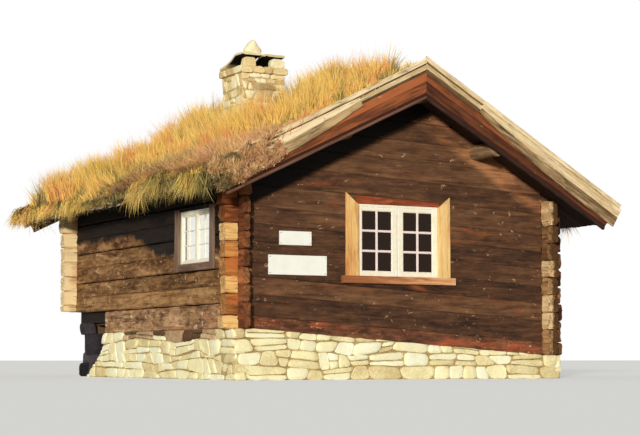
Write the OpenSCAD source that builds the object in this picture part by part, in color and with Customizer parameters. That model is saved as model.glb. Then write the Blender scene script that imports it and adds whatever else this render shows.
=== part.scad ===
// Small log house with a turf roof, on a dry stone foundation.
// The origin is on the ground under the middle of the log walls.
// X runs along the gable fronts, Y from the front to the back, Z up.

/* [Log walls] */
// Outer width of the house across the gable fronts
house_w = 4700; // [4200:50:5400]
// Outer length of the house
house_l = 5800; // [5000:50:7000]
// Thickness of a hewn log
log_t = 180; // [140:10:220]
// Length of a log head past the corner
head_len = 150; // [100:10:220]
// Height of the sill log of the left wall
sill_h = 320; // [260:10:380]
// Height of a course above the sill
course_h = 217; // [190:1:240]
// Logs between the sill and the wall plate
mid_courses = 6; // [5:1:7]
// Depth of the seams between the logs
seam_d = 10; // [6:1:16]

/* [Heights] */
// Underside of the sill at the left wall
sill_left_z = 630; // [450:10:800]
// Underside of the sill at the right wall
sill_right_z = 310; // [250:10:450]
// Underside of the roof above the outer face of the left wall
eaves_z = 2570; // [2500:10:2700]
// Rise of the left side of the roof over its run
roof_slope = 0.5; // [0.4:0.01:0.6]
// Rise of the right side of the roof, which has sunk further, over its run
roof_slope_right = 0.58; // [0.5:0.02:0.64]
// Top of the floor boards
floor_z = 800; // [750:10:900]

/* [Roof] */
// Overhang of the roof past the side walls
eaves_over = 540; // [400:10:650]
// Overhang of the roof past the gable walls
verge_over = 600; // [450:10:700]
// Thickness of the roof boards
board_t = 28; // [22:1:36]
// Thickness of the layers of birch bark
bark_t = 12; // [8:1:20]
// Thickness of the turf
turf_t = 155; // [145:5:200]
// Width of the brown bargeboards at the ridge
barge_w = 285; // [240:5:320]
// How far the bargeboards hang below the underside of the roof boards at the ridge
barge_drop = 165; // [120:5:220]
// How much narrower the bargeboards are at the eaves
barge_taper = 60; // [0:5:90]
// Height of the pale verge planks above the bargeboards
plank_w = 160; // [120:5:200]
// Thickness of bargeboards and verge planks
verge_t = 36; // [26:1:45]

/* [Chimney] */
// Middle of the chimney left of the ridge
chimney_x = 700; // [500:10:1000]
// Middle of the chimney behind the middle of the house
chimney_y = 70; // [-300:10:600]
// Side of the stack
stack_w = 660; // [560:10:760]
// Side of the flue
flue_w = 300; // [240:10:340]
// Top of the stack
stack_top_z = 4380; // [4250:10:4600]

/* [Front window] */
// Middle of the front window, left of the ridge
win_x = 72; // [-400:10:400]
// Clear width of the opening in the logs
win_w = 1240; // [900:10:1300]
// Underside of the opening
win_z0 = 1310; // [1200:10:1400]
// Top of the opening
win_z1 = 2230; // [2000:10:2250]

/* [Left window] */
// Distance of the opening from the front face of the house
side_win_y = 780; // [500:10:1500]
// Clear width of the opening
side_win_w = 1000; // [800:10:1200]
// Underside of the opening
side_win_z0 = 1470; // [1400:10:1550]
// Top of the opening
side_win_z1 = 2180; // [2000:10:2200]

/* [Door] */
// Middle of the door in the back gable, right of the ridge
door_x = 700; // [-900:10:900]
// Clear width of the doorway
door_w = 860; // [760:10:950]
// Clear height of the doorway
door_h = 1660; // [1500:10:1700]

/* [Foundation] */
// Thickness of the foundation walls
found_t = 400; // [320:10:480]
// Projection of the foundation in front of the log walls
found_out = 70; // [30:5:120]
// Length of the gap at the left rear corner, from the back face, at the top
gap_len = 1470; // [1000:10:1700]
// Length of the same gap on the ground
gap_foot_len = 800; // [760:10:1000]
// Stretch of the sill log that reaches past the stones into the gap
sill_stub = 120; // [60:10:200]

/* [Hidden] */

half_w = house_w / 2;
half_l = house_l / 2;
in_w = half_w - log_t;
in_l = half_l - log_t;
ridge_z = eaves_z + half_w * roof_slope;
logs = mid_courses + 2;
gap_z = sill_left_z + sill_h + 15;
gap_foot_z = floor_z - 10;
gap_depth = 100;
gap_w = log_t + 270;
c_wood = [0.36, 0.25, 0.17];
c_side = [0.50, 0.37, 0.24];
c_stone = [0.86, 0.82, 0.66];
c_turf = [0.72, 0.60, 0.30];

// Sides of the house: -1 is left and 1 is right. Each side of the roof has its own slope
function rise(s) = s < 0 ? roof_slope : roof_slope_right;
function slope_a(s) = atan(rise(s));

// Height of the underside of the roof boards at x, and its outline down to the ground
function soffit(x) = ridge_z - abs(x) * rise(x);
soffit_pts = [[-half_w, 0], [half_w, 0], [half_w, soffit(half_w)], [0, ridge_z], [-half_w, soffit(-half_w)]];

// Seams of the left wall, then of the right wall, whose courses are taller in proportion
function seam_left(k) = k <= 0 ? sill_left_z
    : k >= logs ? eaves_z
    : sill_left_z + sill_h + (k - 1) * course_h;
right_scale = (soffit(half_w) - sill_right_z) / (eaves_z - sill_left_z);
function seam_right(k) = k >= logs ? soffit(half_w)
    : round(soffit(half_w) - (eaves_z - seam_left(k)) * right_scale);
function side_seam(s, k) = s < 0 ? seam_left(k) : seam_right(k);

// Seams of the gable walls lie half a course lower than those of the side walls
gable_h = 255;
function gable_seam(s, k) = k <= 0 ? side_seam(s, 0)
    : k <= logs ? round((side_seam(s, k - 1) + side_seam(s, k)) / 2)
    : gable_seam(s, logs) + (k - logs) * gable_h;

// Limits of the notched neck of a side log, and of a gable log, at the corners of side s
function side_neck_lo(s, k) = round((side_seam(s, k) + gable_seam(s, k + 1)) / 2);
function side_neck_hi(s, k) = round((gable_seam(s, k + 1) + side_seam(s, k + 1)) / 2);
function gable_neck_lo(s, k) = k == 0 ? side_seam(s, 0) : side_neck_hi(s, k - 1);
function gable_neck_hi(s, k) = side_neck_lo(s, k);

// Box from a low corner to a high corner
module span(lo, hi) {
    translate(lo) cube(hi - lo);
}

// Polygon in the X-Z plane, made thick along Y from y0 to y1
module slab_xz(pts, y0, y1) {
    translate([0, y1, 0]) rotate([90, 0, 0]) linear_extrude(y1 - y0) polygon(pts);
}

// Polygon in the Y-Z plane, made thick along X from x0 to x1
module slab_yz(pts, x0, x1) {
    translate([x0, 0, 0]) rotate([90, 0, 90]) linear_extrude(x1 - x0) polygon(pts);
}

// Faceted section of a log head between two heights, from 0 to log_t across
function head_pts(z0, z1, c = 46, g = 5) = [
    [c, z0 + g], [log_t - c, z0 + g], [log_t, z0 + g + c * 1.2], [log_t, z1 - g - c * 1.2],
    [log_t - c, z1 - g], [c, z1 - g], [0, z1 - g - c * 1.2], [0, z0 + g + c * 1.2]
];

// Course k of a gable wall between the corners, its outer face along -Y at y = 0
module gable_course(k) {
    e = seam_d * 0.6;
    slab_xz([[-in_w, gable_seam(-1, k) + e], [in_w, gable_seam(1, k) + e],
             [in_w, gable_seam(1, k + 1) - e], [-in_w, gable_seam(-1, k + 1) - e]], 0, log_t);
}

// Body of a gable wall behind the seams, from one course to another
module gable_core(k0, k1) {
    slab_xz([[-in_w, gable_seam(-1, k0)], [in_w, gable_seam(1, k0)],
             [in_w, gable_seam(1, k1)], [-in_w, gable_seam(-1, k1)]], seam_d, log_t - seam_d);
}

// Log of a gable wall with its necks and heads
module gable_log(k) {
    gable_course(k);
    for (s = [-1, 1]) {
        n0 = gable_neck_lo(s, k);
        n1 = gable_neck_hi(s, k);
        h0 = gable_seam(s, k);
        h1 = gable_seam(s, k + 1);
        x0 = s < 0 ? -half_w : in_w;
        span([x0, 0, n0], [x0 + log_t, log_t, n1]);
        xh = s < 0 ? -half_w - head_len : half_w;
        slab_yz(head_pts(h0, h1), xh, xh + head_len);
    }
}

// Logs above the wall plates, cut to the slope of the roof
module gable_top() {
    k0 = logs;
    n = ceil((ridge_z - (gable_seam(-1, k0) + gable_seam(1, k0)) / 2) / gable_h);
    intersection() {
        union() {
            gable_core(k0 - 1, k0 + n);
            for (k = [k0 : k0 + n - 1]) gable_course(k);
            for (s = [-1, 1]) {
                x0 = s < 0 ? -half_w : in_w;
                span([x0, 0, side_neck_hi(s, k0 - 1)], [x0 + log_t, log_t, eaves_z + 200]);
            }
        }
        slab_xz(soffit_pts, -1, log_t + 1);
    }
}

// Gap under the left rear corner, where the lowest logs have rotted away:
// right through below the floor, and into the outer part of the logs above it
module rear_gap() {
    y0 = half_l - gap_len + sill_stub;
    far = 2 * head_len;
    span([-half_w - far, y0, 0], [-half_w + gap_w, half_l + far, gap_foot_z]);
    span([-half_w - far, y0, 0], [-half_w + gap_depth, half_l + far, gap_z]);
    span([-half_w - far, half_l - gap_depth, 0], [-half_w + gap_w, half_l + far, gap_z]);
}

// Bores of the purlins through a gable wall
module purlin_notches() {
    for (x = purlin_xs) translate([x, 0, purlin_z(x)]) rotate([90, 0, 0])
        cylinder(h = 3 * log_t, d = purlin_d(x), center = true, $fn = 24);
}

module front_wall() color(c_wood) {
    translate([0, -half_l, 0]) difference() {
        union() {
            gable_core(0, logs);
            for (k = [0 : logs - 1]) gable_log(k);
            gable_top();
        }
        span([-win_x - win_w / 2, -1, win_z0], [-win_x + win_w / 2, log_t + 1, win_z1]);
        purlin_notches();
    }
}

module back_wall() color(c_wood) {
    difference() {
        translate([0, half_l, 0]) mirror([0, 1, 0]) difference() {
            union() {
                gable_core(0, logs);
                for (k = [0 : logs - 1]) gable_log(k);
                gable_top();
            }
            span([door_x - door_w / 2, -1, floor_z], [door_x + door_w / 2, log_t + 1, floor_z + door_h]);
            purlin_notches();
        }
        rear_gap();
    }
}

// Log k of a side wall, standing with its outer face at x = 0 and its inner face at x = log_t
module side_log(s, k) {
    z0 = side_seam(s, k);
    z1 = side_seam(s, k + 1);
    n0 = side_neck_lo(s, k);
    n1 = side_neck_hi(s, k);
    e = seam_d * 0.6;
    span([0, -in_l, z0 + e], [log_t, in_l, z1 - (k == logs - 1 ? 0 : e)]);
    for (m = [0, 1]) mirror([0, m, 0]) {
        span([0, in_l, n0], [log_t, half_l, n1]);
        translate([0, half_l + head_len, 0]) rotate([90, 0, 0])
            linear_extrude(head_len) polygon(head_pts(z0, z1));
    }
}

// Side wall on side s of the house
module side_wall(s) {
    top = soffit(s * half_w);
    translate([s * half_w, 0, 0]) mirror([s > 0 ? 1 : 0, 0, 0]) {
        span([seam_d, -in_l, side_seam(s, 0)], [log_t - seam_d, in_l, top]);
        for (k = [0 : logs - 1]) side_log(s, k);
        // Bevel on top that carries the roof boards
        slab_xz([[0, top - 5], [log_t, top - 5], [log_t, soffit(s * in_w)], [0, top]], -in_l, in_l);
    }
}

module left_wall() color(c_side) {
    difference() {
        side_wall(-1);
        rear_gap();
        span([-half_w - 1, -half_l + side_win_y, side_win_z0],
             [-in_w + 1, -half_l + side_win_y + side_win_w, side_win_z1]);
    }
}

module right_wall() color(c_side) side_wall(1);

// Purlins: the one at the ridge is thinner
side_purlin_x = 1120;
side_purlin_d = 210;
ridge_purlin_d = 210;
ridge_purlin_drop = 130;
purlin_xs = [-side_purlin_x, 0, side_purlin_x];
function purlin_d(x) = x == 0 ? ridge_purlin_d : side_purlin_d;
function purlin_z(x) = x == 0 ? ridge_z - ridge_purlin_drop
    : soffit(x) - side_purlin_d / 2 / cos(slope_a(x)) + 14;
purlin_len = 2 * (half_l + verge_over - verge_t) - 80;

// Round timber at x, flattened on top where the roof boards lie on it
module purlin(x) {
    intersection() {
        translate([x, 0, purlin_z(x)]) rotate([90, 0, 0])
            cylinder(h = purlin_len, d = purlin_d(x), center = true, $fn = 24);
        slab_xz(soffit_pts, -half_l - verge_over, half_l + verge_over);
    }
}

module ridge_purlin() color(c_wood) purlin(0);

module side_purlins() color(c_wood) {
    purlin(-side_purlin_x);
    purlin(side_purlin_x);
}

// Layers of the roof: s is the side, u the height above the soffit square to the slope,
// and v the distance down the slope from the ridge
function eave_v(s) = (half_w + eaves_over) / cos(slope_a(s));
function roof_pt(s, v, u) = [v * cos(slope_a(s)) + u * sin(slope_a(s)),
                             ridge_z - v * sin(slope_a(s)) + u * cos(slope_a(s))];
// Point on the ridge plane at height u above the soffit
function ridge_pt(s, u) = [0, ridge_z + u / cos(slope_a(s))];

// Outline in the X-Z plane of the right side of the roof, mirrored for the left side
module roof_slab(s, pts, y0, y1) {
    mirror([s < 0 ? 1 : 0, 0, 0]) slab_xz(pts, y0, y1);
}

module roof_layer(s, u0, u1, v1, y1) {
    roof_slab(s, [ridge_pt(s, u0), roof_pt(s, v1, u0), roof_pt(s, v1, u1), ridge_pt(s, u1)], -y1, y1);
}

layer_y = half_l + verge_over - verge_t;
bark_u = board_t + bark_t;
bark_over = 15;
shaft_z = 500;
shaft_top = 900;

// Shaft through the roof for the chimney
module chimney_shaft() {
    g = stack_w / 2;
    span([-chimney_x - g, chimney_y - g, eaves_z - shaft_z],
         [-chimney_x + g, chimney_y + g, ridge_z + shaft_top]);
}

module roof_boards(s) {
    difference() {
        roof_layer(s, 0, board_t, eave_v(s), layer_y);
        if (s < 0) chimney_shaft();
    }
}

module roof_boards_left() color(c_side) roof_boards(-1);
module roof_boards_right() color(c_side) roof_boards(1);

module bark(s) {
    difference() {
        roof_layer(s, board_t, bark_u, eave_v(s) + bark_over, layer_y);
        if (s < 0) chimney_shaft();
    }
}

module bark_left() color([0.80, 0.74, 0.62]) bark(-1);
module bark_right() color([0.80, 0.74, 0.62]) bark(1);

// Eave logs and hooks that hold the turf
eave_log_d = 110;
hook_t = 30;
hook_w = 60;
hook_n = 7;
hook_toe = 150;
log_u = bark_u + hook_t + eave_log_d / 2;
function log_v(s) = eave_v(s) - 20 - hook_t - eave_log_d / 2;
function turf_end_v(s) = log_v(s) - eave_log_d / 2 - 10;

// Turf: its lower edge swells out over the eave log
module turf(s) {
    top = bark_u + turf_t;
    over = log_u + eave_log_d / 2 + 4;
    v1 = eave_v(s);
    difference() {
        roof_slab(s, [ridge_pt(s, bark_u), roof_pt(s, turf_end_v(s), bark_u), roof_pt(s, turf_end_v(s), over),
                      roof_pt(s, v1 - 30, over), roof_pt(s, v1 - 20, over + 12),
                      roof_pt(s, v1 - 90, top + 15), roof_pt(s, v1 - 230, top + 15),
                      roof_pt(s, 320, top), ridge_pt(s, top - 20)], -layer_y, layer_y);
        if (s < 0) chimney_shaft();
    }
}

module turf_left() color(c_turf) turf(-1);
module turf_right() color(c_turf) turf(1);

module eave_log(s) {
    p = roof_pt(s, log_v(s), log_u);
    translate([s * p[0], layer_y, p[1]]) rotate([90, 0, 0])
        cylinder(h = 2 * layer_y, d = eave_log_d, $fn = 20);
}

module eave_log_left() color([0.78, 0.70, 0.55]) eave_log(-1);
module eave_log_right() color([0.78, 0.70, 0.55]) eave_log(1);

// Hooks: a foot under the eave log and a toe that stands in front of it
module log_hooks() color([0.80, 0.72, 0.58]) {
    pitch = 2 * layer_y / hook_n;
    for (s = [-1, 1], i = [0 : hook_n - 1]) {
        y = -layer_y + (i + 0.5) * pitch;
        v0 = turf_end_v(s) + 2;
        v1 = eave_v(s) + 10;
        v2 = eave_v(s) - 20;
        roof_slab(s, [roof_pt(s, v0, bark_u), roof_pt(s, v1, bark_u),
                      roof_pt(s, v1, bark_u + hook_toe), roof_pt(s, v2, bark_u + hook_toe),
                      roof_pt(s, v2, bark_u + hook_t - 0.3), roof_pt(s, v0, bark_u + hook_t - 0.3)],
                  y - hook_w / 2, y + hook_w / 2);
    }
}

// Boards along a verge, both sides of the ridge, from u0 to u1 and from y0 to y1. They end
// at a distance dv from the edge of the roof boards, where the lower edge is up by a rise
module verge_boards(u0, u1, dv, rise, y0, y1) {
    for (s = [-1, 1]) {
        v1 = eave_v(s) + dv;
        roof_slab(s, [ridge_pt(s, u0), roof_pt(s, v1, u0 + rise), roof_pt(s, v1, u1), ridge_pt(s, u1)],
                  y0, y1);
    }
}

verge_y = half_l + verge_over;
barge_dv = -60;
barge_u0 = -barge_drop;
plank_u0 = barge_u0 + barge_w;
plank_u1 = plank_u0 + plank_w;

module bargeboards_front() color([0.50, 0.29, 0.19])
    verge_boards(barge_u0, plank_u0, barge_dv, barge_taper, -verge_y, -verge_y + verge_t);
module bargeboards_back() color([0.50, 0.29, 0.19])
    verge_boards(barge_u0, plank_u0, barge_dv, barge_taper, verge_y - verge_t, verge_y);

// Upper planks stand on the bargeboards. A third of the way down a tapered plank starts in front
// of them, and it gets wider towards the eave. lower_edge gives points on it as [v, u]
upper_dv = 20;
lower_dv = 40;
lower_t = 24;
lower_u1 = plank_u1 - 10;
lower_edge = [[850, plank_u0 + 10], [1500, 50], [2100, 5]];
lower_end_u = -15;
module verge_planks() {
    verge_boards(plank_u0, plank_u1, upper_dv, 0, -verge_y, -verge_y + verge_t);
    for (s = [-1, 1]) {
        v1 = eave_v(s) + lower_dv;
        roof_slab(s, concat([for (p = lower_edge) roof_pt(s, p[0], p[1])],
                            [roof_pt(s, v1, lower_end_u), roof_pt(s, v1, lower_u1),
                             roof_pt(s, lower_edge[0][0], lower_u1)]),
                  -verge_y - lower_t, -verge_y);
    }
}

module verge_planks_front() color([0.80, 0.74, 0.58]) verge_planks();
module verge_planks_back() color([0.80, 0.74, 0.58]) mirror([0, 1, 0]) verge_planks();

// Chimney: a stack from the ground through floor and roof, with a flue open at the top
module chimney_stack() color(c_stone) {
    translate([-chimney_x, chimney_y, 0]) difference() {
        union() {
            span([-stack_w / 2, -stack_w / 2, 0], [stack_w / 2, stack_w / 2, stack_top_z - 90]);
            span([-stack_w / 2 - 40, -stack_w / 2 - 40, stack_top_z - 90],
                 [stack_w / 2 + 40, stack_w / 2 + 40, stack_top_z]);
        }
        span([-flue_w / 2, -flue_w / 2, floor_z + 400], [flue_w / 2, flue_w / 2, stack_top_z + 1]);
    }
}

cap_gap = 150;
slab_t = 50;
cap_r = stack_w / 2;

// Stones on edge at the front corners of the rim, which hold the slabs up over the smoke gap
module chimney_uprights() color(c_stone) {
    top = cap_gap - 12;
    translate([-chimney_x, chimney_y, stack_top_z]) {
        slab_xz([[-cap_r + 20, 0], [-cap_r + 230, 0], [-cap_r + 205, top], [-cap_r + 45, top]],
                -cap_r + 10, -cap_r + 150);
        slab_xz([[cap_r - 190, 0], [cap_r + 10, 0], [cap_r + 15, top * 0.6], [cap_r - 30, top],
                 [cap_r - 170, top], [cap_r - 205, top * 0.6]], -cap_r + 5, -cap_r + 145);
    }
}

// Two thin slabs side by side, high in front and low at the back, where they lie on the rim
module chimney_slabs() color(c_stone) {
    y0 = -cap_r - 50;
    y1 = cap_r + 55;
    z0 = cap_gap - 12;
    // Underside, level over the uprights and then sloping down to the rim
    pts = [[y0, z0], [-cap_r + 150, z0], [cap_r - 20, 0.3], [y1, 0.3],
           [y1, slab_t], [cap_r - 20, slab_t], [-cap_r + 150, z0 + slab_t], [y0, z0 + slab_t]];
    translate([-chimney_x, chimney_y, stack_top_z]) {
        slab_yz(pts, -cap_r - 55, -12);
        slab_yz([for (p = pts) [p[0] + (p[0] < 0 ? 15 : -25), p[1]]], 0, cap_r + 25);
    }
}

// Pointed stone that weighs the slabs down
module chimney_top_stone() color(c_stone) {
    translate([-chimney_x - 150, chimney_y - cap_r + 60, stack_top_z + cap_gap - 12 + slab_t])
        rotate([90, 0, 0]) linear_extrude(150, center = true)
            polygon([[-130, 0], [135, 0], [120, 60], [55, 120], [5, 205], [-60, 150], [-115, 70]]);
}

// Front window
frame_t = 15;
frame_head = 30;
win_d = 110;

module front_window_frame() color([0.85, 0.80, 0.68]) {
    translate([-win_x, -half_l, 0]) difference() {
        span([-win_w / 2, 8, win_z0], [win_w / 2, 8 + win_d, win_z1]);
        span([-win_w / 2 + frame_t, 0, cas_z0], [win_w / 2 - frame_t, log_t, cas_z1]);
    }
}

stile = 78;
rail = 50;
cas_w = (win_w - 2 * frame_t - 10) / 2;
cas_z0 = win_z0 + frame_t;
cas_z1 = win_z1 - frame_head;

// Two casements side by side with a gap between them
module front_casements() color([0.93, 0.91, 0.84]) {
    for (s = [-1, 1]) translate([-win_x + s * (cas_w / 2 + 5), -half_l + 12, 0]) difference() {
        span([-cas_w / 2, 0, cas_z0], [cas_w / 2, 40, cas_z1]);
        span([-cas_w / 2 + stile, -1, cas_z0 + rail], [cas_w / 2 - stile, 41, cas_z1 - rail]);
    }
}

module front_window_glass() color([0.20, 0.24, 0.26]) {
    for (s = [-1, 1]) translate([-win_x + s * (cas_w / 2 + 5), -half_l + 30, 0])
        span([-cas_w / 2 + stile, 0, cas_z0 + rail], [cas_w / 2 - stile, 4, cas_z1 - rail]);
}

side_board_w = 185;
side_board_t = 32;
side_lap = 26;

// Side boards, whose tops slant down towards the glass
module front_side_boards() color([0.92, 0.70, 0.42]) {
    for (s = [-1, 1]) translate([-win_x, 0, 0]) mirror([s > 0 ? 1 : 0, 0, 0])
        slab_xz([[-win_w / 2 - side_board_w + side_lap, win_z0], [-win_w / 2 + side_lap, win_z0],
                 [-win_w / 2 + side_lap, win_z1 - 15], [-win_w / 2 - side_board_w + side_lap, win_z1 + 135]],
                -half_l - side_board_t, -half_l);
}

module front_sill_board() color([0.72, 0.52, 0.40]) {
    r = win_w / 2 + side_board_w - side_lap + 60;
    span([-win_x - r, -half_l - side_board_t - 30, win_z0 - 95], [-win_x + r, -half_l, win_z0]);
}

// Left window near the front corner
sw_y0 = -half_l + side_win_y;
sw_y1 = sw_y0 + side_win_w;

sw_frame = 75;
sw_mid = (sw_y0 + sw_y1) / 2;
sw_lights = [[sw_y0 + sw_frame, sw_mid - sw_frame / 2], [sw_mid + sw_frame / 2, sw_y1 - sw_frame]];
sw_depth = 100;

module left_window_frame() color([0.93, 0.91, 0.84]) {
    x0 = -half_w + 10;
    difference() {
        span([x0, sw_y0, side_win_z0], [x0 + sw_depth, sw_y1, side_win_z1]);
        for (a = sw_lights)
            span([x0 - 1, a[0], side_win_z0 + sw_frame], [x0 + sw_depth + 1, a[1], side_win_z1 - sw_frame]);
    }
}

module left_window_glass() color([0.80, 0.84, 0.86]) {
    x0 = -half_w + 35;
    for (a = sw_lights)
        span([x0, a[0], side_win_z0 + sw_frame], [x0 + 4, a[1], side_win_z1 - sw_frame]);
}

// Casing boards beside and under the left window
module left_window_casing() color([0.90, 0.86, 0.76]) {
    x0 = -half_w - 28;
    z0 = side_win_z0 - sw_frame;
    z1 = side_win_z1 + 30;
    for (a = [[sw_y0 - 110, sw_y0 + 20], [sw_y1 - 20, sw_y1 + 110]])
        span([x0, a[0], z0], [-half_w, a[1], z1]);
    span([x0, sw_y0 - 110, z0], [-half_w, sw_y1 + 110, side_win_z0 + 20]);
}

// Two bare plates on the front wall, one above the other
plate_t = 12;
plate_in = 410;
plate_z = 1300;
plate_w = 818;
plate_h = 246;
small_plate_w = 450;
small_plate_h = 175;
module wall_plates() color([0.93, 0.92, 0.88]) {
    x0 = -half_w + plate_in;
    xs = x0 + (plate_w - small_plate_w) * 0.41;
    zs = plate_z + plate_h * 1.51;
    span([x0, -half_l - plate_t, plate_z], [x0 + plate_w, -half_l, plate_z + plate_h]);
    span([xs, -half_l - plate_t, zs], [xs + small_plate_w, -half_l, zs + small_plate_h]);
}

// Door in the back gable, shut
door_z1 = floor_z + door_h;
jamb_t = 55;
ledge_h = 130;
ledge_low = 250;
ledge_high = 420;

module door_frame() color([0.55, 0.42, 0.28]) {
    x0 = door_x - door_w / 2;
    x1 = door_x + door_w / 2;
    difference() {
        span([x0, in_l - 10, floor_z + 50], [x1, half_l, door_z1]);
        span([x0 + jamb_t, in_l - 20, floor_z], [x1 - jamb_t, half_l + 10, door_z1 - jamb_t]);
    }
    for (a = [[x0 - 100, x0 + 30], [x1 - 30, x1 + 100]])
        span([a[0], half_l, floor_z + 50], [a[1], half_l + 28, door_z1 + 100]);
    span([x0 + 30, half_l, door_z1 - 30], [x1 - 30, half_l + 28, door_z1 + 100]);
}

module door_leaf() color([0.46, 0.33, 0.21]) {
    x0 = door_x - door_w / 2 + jamb_t + 4;
    x1 = door_x + door_w / 2 - jamb_t - 4;
    planks = 4;
    w = (x1 - x0) / planks;
    for (i = [0 : planks - 1])
        span([x0 + i * w, half_l - 62, floor_z + 50],
             [x0 + (i + 1) * w - (i < planks - 1 ? 4 : 0), half_l - 30, door_z1 - jamb_t - 4]);
    for (z = [floor_z + ledge_low, door_z1 - ledge_high])
        span([x0 + 20, half_l - 90, z], [x1 - 20, half_l - 62, z + ledge_h]);
}

module door_threshold() color([0.50, 0.38, 0.25])
    span([door_x - door_w / 2, in_l - 10, floor_z], [door_x + door_w / 2, half_l + 40, floor_z + 50]);

step_rise = 240;
step_run = 250;
module door_step() color(c_stone) {
    y0 = half_l + found_out;
    r = door_w / 2 + 70;
    span([door_x - r - 120, y0, 0], [door_x + r + 120, y0 + 2 * step_run, step_rise]);
    span([door_x - r, y0, step_rise], [door_x + r, y0 + step_run, 2 * step_rise]);
}

// Top of the foundation under the front and back walls falls from left to right
module foundation_cross() {
    slab_xz([[-half_w - found_out, 0], [half_w + found_out, 0], [half_w + found_out, sill_right_z],
             [in_w, sill_right_z], [-in_w, sill_left_z], [-half_w - found_out, sill_left_z]], 0, found_t);
}

module foundation_front() color(c_stone)
    translate([0, -half_l - found_out, 0]) foundation_cross();

// The back wall of the foundation stops short of the gap in the left rear corner
module foundation_back() color(c_stone)
    difference() {
        translate([0, half_l + found_out - found_t, 0]) foundation_cross();
        span([-half_w - found_out - 1, 0, -1],
             [-half_w + gap_w + 150, half_l + found_out + 1, sill_left_z + 1]);
    }

module foundation_left() color(c_stone) {
    y0 = -half_l - found_out + found_t;
    y1 = half_l - gap_len;
    slab_yz([[y0, 0], [half_l - gap_foot_len, 0], [y1 + 90, sill_left_z * 0.55],
             [y1, sill_left_z], [y0, sill_left_z]],
            -half_w - found_out, -half_w - found_out + found_t);
}

// The right wall of the foundation rises inside the logs as a ledge for the joists
module foundation_right() color(c_stone) {
    x1 = half_w + found_out;
    y1 = half_l + found_out - found_t;
    slab_xz([[x1 - found_t, 0], [x1, 0], [x1, sill_right_z], [in_w - 5, sill_right_z],
             [in_w - 5, sill_left_z], [x1 - found_t, sill_left_z]], -y1, y1);
}

// Stone set back in the gap, under the logs that still reach the corner:
// a broad block on the ground and a smaller one on its outer edge
corner_in = 60;
corner_l = gap_foot_len - 100;
module corner_stone() color([0.42, 0.38, 0.40]) {
    x0 = -half_w + corner_in;
    y0 = half_l - corner_l;
    y1 = half_l - corner_in;
    slab_yz([[y0, 0], [y1, 0], [y1 - 20, sill_left_z], [y0 + corner_in, sill_left_z]], x0, x0 + gap_w - 30);
    slab_yz([[y0 + 2 * corner_in, sill_left_z], [y1 - 30, sill_left_z],
             [y1 - 50, gap_foot_z], [y0 + 3 * corner_in, gap_foot_z]], x0, -in_w - 2);
}

// Floor
joist_h = floor_z - 40 - sill_left_z;
floor_t = 40;

joist_n = 5;
joist_end = 250;

module floor_joists() color(c_wood) {
    pitch = 2 * (in_l - joist_end) / (joist_n - 1);
    for (i = [0 : joist_n - 1]) {
        y = -in_l + joist_end + i * pitch;
        if (abs(y - chimney_y) > stack_w / 2 + 80)
            span([-in_w + 5, y - 70, floor_z - floor_t - joist_h], [in_w - 5, y + 70, floor_z - floor_t]);
    }
}

module floor_boards() color([0.55, 0.42, 0.28])
    difference() {
        span([-in_w + 3, -in_l + 3, floor_z - floor_t], [in_w - 3, in_l - 3, floor_z]);
        g = stack_w / 2;
        span([-chimney_x - g, chimney_y - g, 0], [-chimney_x + g, chimney_y + g, floor_z + 1]);
    }

foundation_front();
foundation_left();
foundation_right();
foundation_back();
corner_stone();
floor_joists();
floor_boards();
front_wall();
back_wall();
left_wall();
right_wall();
ridge_purlin();
side_purlins();
roof_boards_left();
roof_boards_right();
bark_left();
bark_right();
turf_left();
turf_right();
eave_log_left();
eave_log_right();
log_hooks();
bargeboards_front();
bargeboards_back();
verge_planks_front();
verge_planks_back();
chimney_stack();
chimney_uprights();
chimney_slabs();
chimney_top_stone();
front_window_frame();
front_casements();
front_window_glass();
front_side_boards();
front_sill_board();
left_window_frame();
left_window_glass();
left_window_casing();
wall_plates();
door_leaf();
door_frame();
door_threshold();
door_step();
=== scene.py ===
"""Turf-roofed log house: its looks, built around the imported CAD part. Metres, same frame as the CAD."""

import math

import bpy
import numpy as np
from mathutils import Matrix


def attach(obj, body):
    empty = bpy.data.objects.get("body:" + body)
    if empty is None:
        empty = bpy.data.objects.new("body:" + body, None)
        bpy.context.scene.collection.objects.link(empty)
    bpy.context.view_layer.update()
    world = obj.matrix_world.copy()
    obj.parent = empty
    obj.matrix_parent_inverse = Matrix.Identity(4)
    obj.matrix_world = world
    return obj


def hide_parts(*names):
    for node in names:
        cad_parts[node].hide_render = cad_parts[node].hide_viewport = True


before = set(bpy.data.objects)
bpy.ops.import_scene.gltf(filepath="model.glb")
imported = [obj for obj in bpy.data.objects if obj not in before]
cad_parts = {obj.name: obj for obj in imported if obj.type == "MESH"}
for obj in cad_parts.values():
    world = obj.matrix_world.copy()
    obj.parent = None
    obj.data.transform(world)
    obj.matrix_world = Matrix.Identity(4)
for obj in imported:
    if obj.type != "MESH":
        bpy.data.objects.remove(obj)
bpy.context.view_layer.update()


def into_scene(name, data):
    obj = bpy.data.objects.new(name, data)
    bpy.context.scene.collection.objects.link(obj)
    return obj


# Camera, at the photograph's viewing angle
CAMERA_YAW, CAMERA_PITCH = 28.255, 4.679
FRAME_WIDTH, FOCAL_PIXELS, SENSOR = 640, 1736.0, 36.0

camera_data = bpy.data.cameras.new("camera")
camera_data.sensor_width = SENSOR
camera_data.lens = FOCAL_PIXELS / FRAME_WIDTH * SENSOR
camera = into_scene("camera", camera_data)
camera.location = (-11.512, -22.065, 0.251)
camera.rotation_euler = (math.radians(90 + CAMERA_PITCH), 0, math.radians(-CAMERA_YAW))
bpy.context.scene.camera = camera
bpy.context.scene.view_settings.view_transform = "Standard"

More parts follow.
